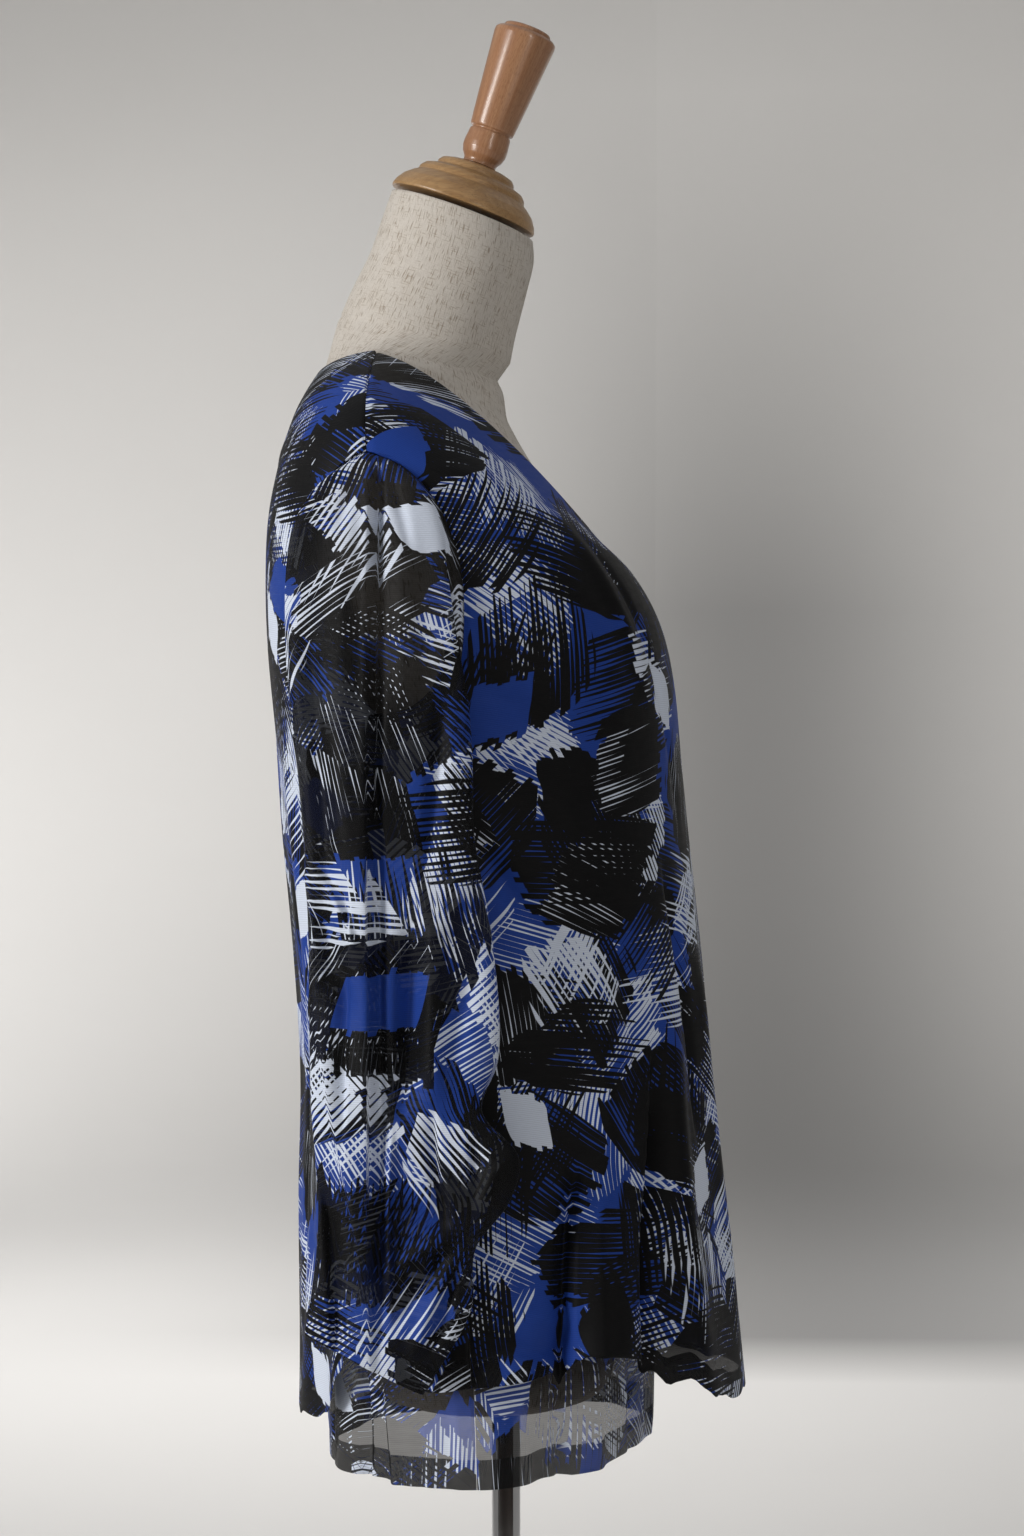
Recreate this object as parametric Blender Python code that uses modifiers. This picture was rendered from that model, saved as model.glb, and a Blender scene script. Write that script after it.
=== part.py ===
"""Two-layer blouse worn on a limbless dress form.

Metres, +Z up. The floor is z = 0 and the pole's axis is x = y = 0. The front of
the garment faces -Y and its wearer's right side is -X.

The body surfaces are lofts: each station of a table gives a front, a side and a
back point, and a ring is drawn through them. An angle of 0 is the centre front,
90 the wearer's left side (+X), 180 the centre back and -90 the wearer's right.
"""

import math

import bmesh
import bpy
import numpy as np

# ---------------------------------------------------------------- sizes
CLOTH = 0.0012            # wall that stands for the printed mesh
SEAM_ANGLE = 0.13         # degrees each panel stops short of a side seam
HPS_STATION = 0.10        # neck point on the shoulder line
VNECK_STATION = 3.15      # point of the V on the centre front
BACKNECK_STATION = 0.30   # centre back neck
SHOULDER_STATION = 4.20   # end of the shoulder seam, top of the armhole
UNDERARM_STATION = 7.05   # bottom of the armhole
HEM_STATION = 13.0
ARM_STEPS = 8             # segments down each half of an armhole
ARM_FRONT_CUT = 13.0      # degrees the armhole bites into the front
ARM_BACK_CUT = 26.0       # and into the back
UNDER_GAP = 0.0040        # underlayer below the outer layer at the shoulder
FORM_GAP = 0.0087         # linen below the outer layer at the shoulder
FORM_NECK_GAP = 0.0026    # and at the neckline's edge
UNDER_TOP = 0.65          # stations from the neckline down to the underlayer's own
SLEEVE_RING = 4 * ARM_STEPS  # points round a sleeve
SEAM = 0.0009             # sleeve head inside its armhole
SEAM_RISE = 0.0017        # and proud of the body there

POLE_RADIUS = 0.0104
BASE_RADIUS = 0.170
BASE_EDGE = 0.007
BASE_HEIGHT = 0.016
FORM_BOTTOM = 0.614
CAP_CENTRE = (0.0, 0.0313, 1.4614)
CAP_TILT = 20.0           # degrees forward
GAP = 0.0004

# ---------------------------------------------------------------- tables
BODY_COLUMNS = ("k", "fy", "fz", "sx", "sy", "sz", "by", "bz", "nf", "nb")
OUTER = (
    # k   front y, z        side x, y, z           back y, z       squareness
    (0,   0.0040, 1.3400,   0.0740, 0.0870, 1.3535,  0.1325, 1.3470,  2.05, 2.00),
    (1,  -0.0160, 1.3000,   0.1050, 0.0870, 1.3410,  0.1440, 1.3270,  2.10, 2.04),
    (2,  -0.0400, 1.2620,   0.1400, 0.0870, 1.3240,  0.1530, 1.3050,  2.15, 2.08),
    (3,  -0.0660, 1.2250,   0.1720, 0.0860, 1.3040,  0.1615, 1.2720,  2.25, 2.12),
    (4,  -0.0920, 1.1980,   0.1920, 0.0840, 1.2780,  0.1680, 1.2350,  2.30, 2.16),
    (5,  -0.1110, 1.1630,   0.1990, 0.0800, 1.2400,  0.1700, 1.1950,  2.35, 2.16),
    (6,  -0.1210, 1.1200,   0.1970, 0.0700, 1.1800,  0.1690, 1.1450,  2.35, 2.16),
    (7,  -0.1267, 1.0586,   0.1870, 0.0550, 1.0900,  0.1640, 1.0850,  2.30, 2.12),
    (8,  -0.1325, 1.0010,   0.1830, 0.0400, 1.0100,  0.1570, 1.0150,  2.25, 2.12),
    (9,  -0.1411, 0.9218,   0.1800, 0.0300, 0.9250,  0.1485, 0.9250,  2.20, 2.08),
    (10, -0.1480, 0.8400,   0.1790, 0.0220, 0.8400,  0.1435, 0.8400,  2.20, 2.08),
    (11, -0.1570, 0.7550,   0.1800, 0.0180, 0.7550,  0.1450, 0.7550,  2.15, 2.08),
    (12, -0.1660, 0.6800,   0.1830, 0.0150, 0.6800,  0.1465, 0.6800,  2.15, 2.08),
    (13, -0.1740, 0.6000,   0.1860, 0.0120, 0.6000,  0.1480, 0.6000,  2.15, 2.08),
)
UNDER = (
    (4,  -0.0870, 1.1950,   0.1860, 0.0840, 1.2740,  0.1615, 1.2330,  2.30, 2.16),
    (5,  -0.1056, 1.1610,   0.1910, 0.0800, 1.2370,  0.1635, 1.1940,  2.35, 2.16),
    (6,  -0.1160, 1.1200,   0.1850, 0.0700, 1.1800,  0.1640, 1.1450,  2.35, 2.16),
    (7,  -0.1190, 1.0586,   0.1740, 0.0550, 1.0900,  0.1570, 1.0850,  2.30, 2.12),
    (8,  -0.1180, 1.0010,   0.1700, 0.0420, 1.0100,  0.1500, 1.0150,  2.25, 2.12),
    (9,  -0.1150, 0.9218,   0.1680, 0.0320, 0.9250,  0.1420, 0.9250,  2.20, 2.08),
    (10, -0.1120, 0.8400,   0.1670, 0.0240, 0.8400,  0.1350, 0.8400,  2.20, 2.08),
    (11, -0.1090, 0.7550,   0.1670, 0.0180, 0.7550,  0.1300, 0.7550,  2.15, 2.08),
    (12, -0.1065, 0.6700,   0.1670, 0.0140, 0.6700,  0.1275, 0.6700,  2.15, 2.08),
    (13, -0.1040, 0.5880,   0.1670, 0.0110, 0.5730,  0.1260, 0.5730,  2.15, 2.08),
)
FORM = (
    (4,  -0.0845, 1.1940,   0.1815, 0.0830, 1.2690,  0.1600, 1.2320,  2.25, 2.12),
    (5,  -0.1015, 1.1600,   0.1805, 0.0790, 1.2350,  0.1610, 1.1940,  2.30, 2.12),
    (6,  -0.1090, 1.1200,   0.1710, 0.0690, 1.1800,  0.1565, 1.1450,  2.30, 2.12),
    (7,  -0.1110, 1.0650,   0.1600, 0.0540, 1.0850,  0.1450, 1.0800,  2.25, 2.08),
    (8,  -0.0960, 1.0000,   0.1480, 0.0400, 1.0050,  0.1270, 1.0050,  2.20, 2.08),
    (9,  -0.0800, 0.9250,   0.1360, 0.0300, 0.9250,  0.1100, 0.9250,  2.10, 2.08),
    (10, -0.0790, 0.8400,   0.1480, 0.0240, 0.8400,  0.1120, 0.8400,  2.15, 2.12),
    (11, -0.0840, 0.7550,   0.1580, 0.0190, 0.7550,  0.1170, 0.7550,  2.15, 2.12),
    (12, -0.0840, 0.6900,   0.1560, 0.0150, 0.6900,  0.1120, 0.6900,  2.15, 2.08),
    (13, -0.0790, 0.6400,   0.1480, 0.0120, 0.6400,  0.0980, 0.6400,  2.15, 2.08),
)
# The outer hem: height of the edge by angle from the centre front (0) to the centre back (180)
HEM_COLUMNS = ("angle", "right_z", "left_z")
OUTER_HEM = (
    (0,   0.6200, 0.6200),
    (20,  0.6200, 0.6210),
    (33,  0.6310, 0.6240),
    (45,  0.6470, 0.6280),
    (56,  0.6610, 0.6430),
    (67,  0.6620, 0.6580),
    (75,  0.6530, 0.6600),
    (90,  0.6450, 0.6480),
    (108, 0.6430, 0.6550),
    (119, 0.6600, 0.6570),
    (130, 0.6620, 0.6580),
    (145, 0.6140, 0.6160),
    (162, 0.6080, 0.6100),
    (180, 0.6080, 0.6080),
)
# Soft flutes: a trough (negative depth) or a ridge down a cloth, wider and deeper towards its hem
FLUTE_COLUMNS = ("angle", "half_width", "depth", "top_z", "lean")
OUTER_FLUTES = (
    (-42, 7.5,  -0.0170, 0.860, -5.0),
    (-32, 7.0,   0.0060, 0.840, -2.0),
    (-59, 8.0,   0.0050, 0.840,  0.0),
    (-73, 5.5,  -0.0120, 0.760,  2.0),
    (-84, 8.0,   0.0040, 0.800,  0.0),
    (-108, 9.0, -0.0080, 0.900,  0.0),
    (-150, 8.0, -0.0070, 0.900,  3.0),
    (24,  9.0,   0.0060, 0.820,  0.0),
    (52,  9.0,  -0.0130, 0.850, -3.0),
    (80,  8.0,  -0.0070, 0.780,  0.0),
    (118, 10.0, -0.0100, 0.880,  0.0),
    (142, 9.0,   0.0060, 0.840,  0.0),
    (164, 9.0,  -0.0080, 0.860,  0.0),
)
UNDER_FLUTES = (
    (-66, 6.5,  -0.0110, 0.720,  0.0),
    (-52, 7.0,   0.0050, 0.720,  0.0),
    (-128, 7.0, -0.0090, 0.720,  0.0),
    (-146, 7.0,  0.0040, 0.700,  0.0),
    (-98, 9.0,  -0.0035, 0.700,  0.0),
    (30,  8.0,  -0.0060, 0.720,  0.0),
    (76,  8.0,  -0.0080, 0.720,  0.0),
    (122, 9.0,  -0.0080, 0.720,  0.0),
    (158, 8.0,  -0.0050, 0.700,  0.0),
)

# Sleeves: each row is a flattened ring. z is its front and back folds' height, tilt how much
# higher its outer side is than its inner side, dip how much lower its front fold is.
SLEEVE_COLUMNS = ("z", "tilt", "dip", "xo", "xi", "yb", "yf")
SLEEVE_RIGHT = (
    (1.1780, 0.0800, 0.000, 0.2060, 0.1925, 0.1345,  0.0290),
    (1.1300, 0.0740, 0.000, 0.2120, 0.1930, 0.1345,  0.0225),
    (1.0750, 0.0620, 0.000, 0.2160, 0.1920, 0.1290,  0.0125),
    (1.0050, 0.0460, 0.000, 0.2180, 0.1910, 0.1235,  0.0100),
    (0.9350, 0.0300, 0.000, 0.2175, 0.1900, 0.1210, -0.0025),
    (0.8700, 0.0160, 0.000, 0.2160, 0.1900, 0.1200, -0.0055),
    (0.8290, 0.0080, 0.000, 0.2150, 0.1900, 0.1190,  0.0045),
    (0.8020, 0.0030, 0.000, 0.2150, 0.1900, 0.1165, -0.0190),
    (0.7720, 0.0000, 0.000, 0.2145, 0.1905, 0.1145, -0.0130),
    (0.7440, 0.0000, 0.004, 0.2140, 0.1910, 0.1150,  0.0090),
    (0.7050, 0.0000, 0.012, 0.2135, 0.1920, 0.1190,  0.0130),
    (0.6640, 0.0000, 0.040, 0.2140, 0.1930, 0.1235,  0.0440),
)
SLEEVE_LEFT = (
    (1.1780, 0.0800, 0.000, 0.2060, 0.1925, 0.1360,  0.0290),
    (1.1300, 0.0740, 0.000, 0.2120, 0.1930, 0.1380,  0.0240),
    (1.0750, 0.0620, 0.000, 0.2160, 0.1920, 0.1400,  0.0200),
    (1.0050, 0.0460, 0.000, 0.2180, 0.1910, 0.1440,  0.0190),
    (0.9350, 0.0300, 0.000, 0.2175, 0.1900, 0.1520,  0.0260),
    (0.8700, 0.0160, 0.000, 0.2160, 0.1900, 0.1610,  0.0320),
    (0.8290, 0.0080, 0.000, 0.2150, 0.1900, 0.1640,  0.0380),
    (0.7900, 0.0030, 0.000, 0.2150, 0.1900, 0.1660,  0.0440),
    (0.7440, 0.0000, 0.000, 0.2145, 0.1905, 0.1680,  0.0500),
    (0.7050, 0.0000, 0.000, 0.2140, 0.1910, 0.1710,  0.0560),
    (0.6600, 0.0000, 0.006, 0.2150, 0.1920, 0.1715,  0.0600),
)
# A long soft valley down the outer face of each sleeve: where it lies, and how deep
CREASE_COLUMNS = ("z", "y", "depth")
CREASE_RIGHT = ((1.26, 0.080, 0.000), (1.20, 0.078, 0.006), (1.05, 0.077, 0.009), (0.90, 0.079, 0.008), (0.75, 0.080, 0.009), (0.64, 0.082, 0.008))
CREASE_LEFT = ((1.26, 0.084, 0.000), (1.20, 0.086, 0.005), (1.05, 0.092, 0.008), (0.90, 0.100, 0.008), (0.75, 0.118, 0.007), (0.64, 0.124, 0.006))

NECK_COLUMNS = ("y", "z", "half_depth", "half_width", "tilt")
NECK = (
    (0.0592, 1.3660, 0.0638, 0.0650, 13.0),
    (0.0520, 1.3880, 0.0612, 0.0600, 15.5),
    (0.0418, 1.4157, 0.0582, 0.0570, 14.5),
    (0.0345, 1.4400, 0.0568, 0.0552, 17.0),
    (0.0314, 1.4570, 0.0540, 0.0540, 20.0),
)
# Turned profiles: radius and height above the cap's lower rim, top to bottom
CAP_PROFILE = (
    (0.0, 0.0340), (0.0120, 0.0338), (0.0215, 0.0329), (0.0268, 0.0313), (0.0288, 0.0288), (0.0292, 0.0262),
    (0.0325, 0.0252), (0.0372, 0.0235), (0.0398, 0.0205), (0.0404, 0.0175), (0.0440, 0.0152), (0.0492, 0.0108),
    (0.0528, 0.0055), (0.0542, 0.0016), (0.0538, 0.0), (0.0, 0.0),
)
FINIAL_PROFILE = (
    (0.0, 0.1390), (0.0160, 0.1388), (0.0173, 0.1376), (0.0175, 0.1355), (0.0206, 0.1349), (0.0226, 0.1330),
    (0.0229, 0.1305), (0.0214, 0.1150), (0.0186, 0.0850), (0.0164, 0.0630), (0.0158, 0.0612), (0.0143, 0.0606),
    (0.0143, 0.0594), (0.0153, 0.0586), (0.0157, 0.0545), (0.0163, 0.0495), (0.0162, 0.0455), (0.0148, 0.0412),
    (0.0124, 0.0378), (0.0120, 0.0360), (0.0127, 0.0345), (0.0, 0.0345),
)
COLOURS = {
    "print_blue": ((0.030, 0.080, 0.300), 0.75, 0.0),
    "linen": ((0.62, 0.57, 0.50), 0.85, 0.0),
    "oak": ((0.46, 0.27, 0.10), 0.35, 0.0),
    "beech": ((0.52, 0.26, 0.12), 0.25, 0.0),
    "chrome": ((0.75, 0.75, 0.76), 0.12, 1.0),
}

# ---------------------------------------------------------------- helpers


def smooth(x):
    x = np.clip(x, 0.0, 1.0)
    return x * x * (3 - 2 * x)


def spline(xs, ys, x):
    """Smooth curve through (xs, ys), with end values held."""
    xs, ys = np.asarray(xs, float), np.asarray(ys, float)
    x = np.clip(x, xs[0], xs[-1])
    h = np.diff(xs)
    d = np.diff(ys) / h
    m = np.empty_like(ys)
    m[1:-1] = (d[:-1] * h[1:] + d[1:] * h[:-1]) / (h[:-1] + h[1:])
    m[0], m[-1] = d[0], d[-1]
    i = np.clip(np.searchsorted(xs, x, side="right") - 1, 0, len(h) - 1)
    t = (x - xs[i]) / h[i]
    return (
        ys[i] * (2 * t**3 - 3 * t**2 + 1)
        + m[i] * h[i] * (t**3 - 2 * t**2 + t)
        + ys[i + 1] * (3 * t**2 - 2 * t**3)
        + m[i + 1] * h[i] * (t**3 - t**2)
    )


def column(table, columns, name):
    return [row[columns.index(name)] for row in table]


def station(table, k, names):
    ks = column(table, BODY_COLUMNS, "k")
    return [spline(ks, column(table, BODY_COLUMNS, n), k) for n in names]


def ring_point(table, angle, k):
    """Point of a body surface at an angle in degrees and a station."""
    angle = np.asarray(angle, float)
    k = np.asarray(k, float) + 0 * angle
    fy, fz, sx, sy, sz, by, bz, nf, nb = station(table, k, BODY_COLUMNS[1:])
    c, s = np.cos(np.radians(angle)), np.sin(np.radians(angle))
    front = c >= 0
    n = np.where(front, nf, nb)
    cy = np.abs(c) ** (2 / n)
    x = sx * np.sign(s) * np.abs(s) ** (2 / n)
    y = np.where(front, sy + (fy - sy) * cy, sy + (by - sy) * cy)
    z = sz + np.where(front, fz - sz, bz - sz) * cy**1.35
    return np.stack([x, y, z], -1)


def flute_shift(flutes, angle, z, hem_z):
    total = 0.0
    for centre, half, depth, top, lean in flutes:
        fall = np.clip((top - z) / (top - hem_z), 0.0, 1.3)
        here = centre + lean * fall
        away = (angle - here + 180) % 360 - 180
        total = total + depth * smooth(fall) * np.exp(-((away / (half * (0.7 + 0.4 * fall))) ** 2))
    return total


def normals(point, angle, k):
    """Outward normal of a surface function of (angle, k)."""
    da, dk = 0.05, 0.01
    k = np.clip(k, 3 * dk, HEM_STATION - 3 * dk)
    along = point(angle + da, k) - point(angle - da, k)
    down = point(angle, k + dk) - point(angle, k - dk)
    n = np.cross(down, along)
    return n / np.linalg.norm(n, axis=-1, keepdims=True)


def outer_plain(angle, k):
    return ring_point(OUTER, angle, k)


def outer(angle, k):
    """Outer layer's outside face."""
    p = outer_plain(angle, k)
    shift = flute_shift(OUTER_FLUTES, angle, p[..., 2], 0.61)
    return p + normals(outer_plain, angle, k) * shift[..., None]


def layered(table, gap, first, last, angle, k):
    """The outer face moved inwards by a gap at the shoulders, turning into the table's own shape lower down."""
    k = np.asarray(k, float)
    gap = gap + 0 * (k + angle)
    top = outer_plain(angle, k) - normals(outer_plain, angle, k) * gap[..., None]
    low = ring_point(table, angle, np.maximum(k, table[0][0]))
    w = smooth((k - first) / (last - first))[..., None]
    return top * (1 - w) + low * w


def under_plain(angle, k):
    return layered(UNDER, UNDER_GAP, 4.2, 6.4, angle, k)


def under(angle, k):
    p = under_plain(angle, k)
    shift = flute_shift(UNDER_FLUTES, angle, p[..., 2], 0.575)
    return p + normals(under_plain, angle, k) * shift[..., None]


def form(angle, k):
    gap = FORM_NECK_GAP + (FORM_GAP - FORM_NECK_GAP) * smooth((k - 0.15) / 0.55)
    p = layered(FORM, gap, 4.0, 6.2, angle, k)
    # Two soft bust swells
    z = p[..., 2]
    for side in (-1, 1):
        away = (angle - side * 34 + 180) % 360 - 180
        swell = 0.006 * np.exp(-((away / 17) ** 2) - (((z - 1.105) / 0.055) ** 2))
        p[..., 1] -= swell
    return p


def armhole_cut(k, most, top=SHOULDER_STATION, bottom=UNDERARM_STATION):
    """Degrees that an armhole takes from a panel's side edge at station k."""
    t = np.clip((k - top) / (bottom - top), 0.0, 1.0)
    return most * np.sqrt(4 * t * (1 - t))


def outer_hem_z(angle):
    a = (np.asarray(angle, float) + 180) % 360 - 180
    angles = column(OUTER_HEM, HEM_COLUMNS, "angle")
    right = spline(angles, column(OUTER_HEM, HEM_COLUMNS, "right_z"), np.abs(a))
    left = spline(angles, column(OUTER_HEM, HEM_COLUMNS, "left_z"), np.abs(a))
    return np.where(a < 0, right, left)


def outer_hem_station(angle):
    """Station at which the outer layer reaches its hem's height."""
    low, high = np.full_like(angle, 10.0), np.full_like(angle, HEM_STATION)
    target = outer_hem_z(angle)
    for _ in range(24):
        middle = (low + high) / 2
        deeper = outer_plain(angle, middle)[..., 2] > target
        low, high = np.where(deeper, middle, low), np.where(deeper, high, middle)
    return (low + high) / 2


def arm_rows(count_above, count_below, top, bottom, first, last, steps):
    """Stations down a side edge: above, through and below its armhole."""
    arm = [top + (bottom - top) * (1 - math.cos(math.pi * i / steps)) / 2 for i in range(steps + 1)]
    above = [first + (top - first) * i / count_above for i in range(count_above)]
    below = [bottom + (last - bottom) * i / count_below for i in range(1, count_below + 1)]
    return np.array(above + arm + below)


def material(name):
    found = bpy.data.materials.get(name)
    if found:
        return found
    colour, rough, metal = COLOURS[name]
    mat = bpy.data.materials.new(name)
    mat.use_nodes = True
    shader = mat.node_tree.nodes["Principled BSDF"]
    shader.inputs["Base Color"].default_value = (*colour, 1.0)
    shader.inputs["Roughness"].default_value = rough
    shader.inputs["Metallic"].default_value = metal
    return mat


def add_object(name, mesh, mat, home):
    obj = bpy.data.objects.new(name, mesh)
    mesh.materials.append(material(mat))
    home.objects.link(obj)
    return obj


def grid_object(name, points, mat, home, closed=False, caps=False, flip=False):
    """A grid whose vertices take the points (rows, columns, 3). closed joins its first and last columns."""
    rows, columns, _ = points.shape
    bm = bmesh.new()
    bmesh.ops.create_grid(bm, x_segments=columns - 1, y_segments=rows - 1, size=0.5)
    for vert in bm.verts:
        j = round((vert.co.x + 0.5) * (columns - 1))
        i = round((vert.co.y + 0.5) * (rows - 1))
        vert.co = points[i, j]
    if closed:
        bmesh.ops.remove_doubles(bm, verts=bm.verts, dist=1e-7)
    if caps:
        bmesh.ops.holes_fill(bm, edges=[e for e in bm.edges if e.is_boundary])
    if flip:
        bmesh.ops.reverse_faces(bm, faces=bm.faces)
    mesh = bpy.data.meshes.new(name)
    bm.to_mesh(mesh)
    bm.free()
    mesh.shade_smooth()
    return add_object(name, mesh, mat, home)


def thicken(obj, thickness=CLOTH):
    wall = obj.modifiers.new("Wall", "SOLIDIFY")
    wall.thickness = thickness
    wall.offset = -1.0
    wall.use_even_offset = True
    wall.use_quality_normals = True


def turned(name, profile, mat, home, steps=36):
    """A profile of (radius, height) turned about Z, top to bottom."""
    mesh = bpy.data.meshes.new(name)
    mesh.from_pydata([(r, 0.0, h) for r, h in profile], [(i, i + 1) for i in range(len(profile) - 1)], [])
    obj = add_object(name, mesh, mat, home)
    turn = obj.modifiers.new("Turn", "SCREW")
    turn.axis = "Z"
    turn.steps = turn.render_steps = steps
    turn.use_merge_vertices = True
    turn.merge_threshold = 0.00005
    turn.use_smooth_shade = True
    return obj


# ---------------------------------------------------------------- panels


def side_edge(k, cut):
    return 90.0 - SEAM_ANGLE - armhole_cut(k, cut)


def outer_panel(name, centre, rows, columns, home):
    """Outer front (centre 0) or back (centre 180), each one piece from side seam to side seam."""
    fall = (rows - HPS_STATION) / (HEM_STATION - HPS_STATION)
    u = np.linspace(-1, 1, columns)
    if centre == 0:
        middle, cut = VNECK_STATION, ARM_FRONT_CUT
        bend = 1 - np.sqrt(u**2 + 0.06**2) + 0.06 * u**2
        bend = np.clip(bend, 0, None) ** 1.1
        bend = bend / bend.max()
        bend[0] = bend[-1] = 0.0
    else:
        middle, cut = BACKNECK_STATION, ARM_BACK_CUT
        bend = np.cos(u * math.pi / 2) ** 2
    top = HPS_STATION + (middle - HPS_STATION) * bend
    hem = np.full(columns, HEM_STATION)
    for _ in range(6):
        k = top[None, :] + (hem - top)[None, :] * fall[:, None]
        angle = centre + u[None, :] * side_edge(k, cut)
        hem = outer_hem_station(angle[-1])
    obj = grid_object(name, outer(angle, k), "print_blue", home)
    thicken(obj)
    return obj


def under_panel(name, centre, rows, columns, home):
    """Front (centre 0) or back (centre 180) of the underlayer."""
    fall = (rows - rows[0]) / (rows[-1] - rows[0])
    u = np.linspace(-1, 1, columns)
    middle = VNECK_STATION + UNDER_TOP if centre == 0 else BACKNECK_STATION + UNDER_TOP
    bend = (1 - np.abs(u)) ** 1.15 if centre == 0 else np.cos(u * math.pi / 2) ** 2
    top = rows[0] + (middle - rows[0]) * bend
    k = top[None, :] + (rows[-1] - top)[None, :] * fall[:, None]
    cut = (ARM_FRONT_CUT if centre == 0 else ARM_BACK_CUT) + 3.0
    edge = 90.0 - 2.0 * SEAM_ANGLE - armhole_cut(k, cut, SHOULDER_STATION - 0.1, UNDERARM_STATION + 0.15)
    angle = centre + u[None, :] * edge
    obj = grid_object(name, under(angle, k), "print_blue", home)
    thicken(obj)
    return obj


def armhole_ring(side, count):
    """The armhole's edge as the panels cut it, from the shoulder down the front and up the back."""
    arm = arm_rows(1, 1, SHOULDER_STATION, UNDERARM_STATION, 0, HEM_STATION, ARM_STEPS)[1:-1]
    front = outer(side * (90.0 - armhole_cut(arm, ARM_FRONT_CUT)), arm)
    back = outer(side * (90.0 + armhole_cut(arm, ARM_BACK_CUT)), arm)[::-1]
    loop = np.concatenate([front, back[1:]])
    t = np.linspace(0, 1, len(loop))
    return np.stack([np.interp(np.linspace(0, 1, count + 1), t, loop[:, i]) for i in range(3)], -1)


def sleeve_rows(table):
    """The table's rings and one smooth ring between each pair."""
    n = len(table)
    at = np.linspace(0, n - 1, n)
    return {c: spline(np.arange(n), column(table, SLEEVE_COLUMNS, c), at) for c in SLEEVE_COLUMNS}


def sleeve(name, side, table, crease, home):
    """A flattened tube from the armhole to its hem."""
    phi = np.linspace(0, 2 * math.pi, SLEEVE_RING + 1)
    ring = armhole_ring(side, SLEEVE_RING)
    middle = ring[:-1].mean(axis=0)
    inward = middle - ring
    first = ring + inward / np.linalg.norm(inward, axis=1, keepdims=True) * SEAM
    first[:, 0] += side * SEAM_RISE
    row = sleeve_rows(table)
    rings = [first]
    for i in range(len(row["z"])):
        # phi is 0 on the outer face, 90 at the front fold, 180 on the inner face and 270 at the back fold
        c, s = np.cos(phi), np.sin(phi)
        depth = np.sign(c) * np.abs(c) ** 0.62
        across = np.sign(s) * np.abs(s) ** 0.80
        ym, yh = (row["yb"][i] + row["yf"][i]) / 2, (row["yb"][i] - row["yf"][i]) / 2
        xm, xh = (row["xo"][i] + row["xi"][i]) / 2, (row["xo"][i] - row["xi"][i]) / 2
        y = ym - yh * across
        x = xm + xh * depth
        z = row["z"][i] + row["tilt"][i] * depth - row["dip"][i] * across / 2
        cy = spline(column(crease, CREASE_COLUMNS, "z")[::-1], column(crease, CREASE_COLUMNS, "y")[::-1], z)
        cd = spline(column(crease, CREASE_COLUMNS, "z")[::-1], column(crease, CREASE_COLUMNS, "depth")[::-1], z)
        valley = cd * np.exp(-(((y - cy) / 0.013) ** 2)) * (depth > 0.2)
        swell = 0.35 * cd * (np.exp(-(((y - cy - 0.028) / 0.015) ** 2)) + np.exp(-(((y - cy + 0.030) / 0.016) ** 2))) * (depth > 0.2)
        x = x - valley + swell
        rings.append(np.stack([side * x, y, z], -1))
    points = np.array(rings)
    points[1] = points[1] * 0.8 + first * 0.2
    points[:, -1] = points[:, 0]
    obj = grid_object(name, points, "print_blue", home, closed=True, flip=side < 0)
    thicken(obj)
    return obj


# ---------------------------------------------------------------- dress form


def form_body(home):
    count = 41
    angle = np.linspace(-180, 180, count)
    rings = []
    last = form(angle, np.full(count, 13.0))
    centre = np.array([0.0, (last[:, 1].min() + last[:, 1].max()) / 2, 0.0])
    for scale, z in ((0.80, FORM_BOTTOM), (0.90, FORM_BOTTOM + 0.0035), (0.965, FORM_BOTTOM + 0.011)):
        ring = centre + (last - centre) * scale
        ring[:, 2] = z
        rings.append(ring)
    for k in (13, 12, 11, 10, 9, 8, 7.4, 6.8, 6.2, 5.6, 5, 4.5, 4, 3.4, 2.7, 2, 1.3, 0.75, 0.35, 0.0):
        rings.append(form(angle, np.full(count, float(k))))
    a = np.radians(angle)
    for y, z, depth, width, tilt in NECK:
        across = -np.cos(a) * depth
        t = math.radians(tilt)
        rings.append(np.stack([np.sin(a) * width, y + across * math.cos(t), z + across * math.sin(t)], -1))
    points = np.array(rings)[::-1]
    points[:, -1] = points[:, 0]
    return grid_object("form_body", points, "linen", home, closed=True, caps=True, flip=True)


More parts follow.
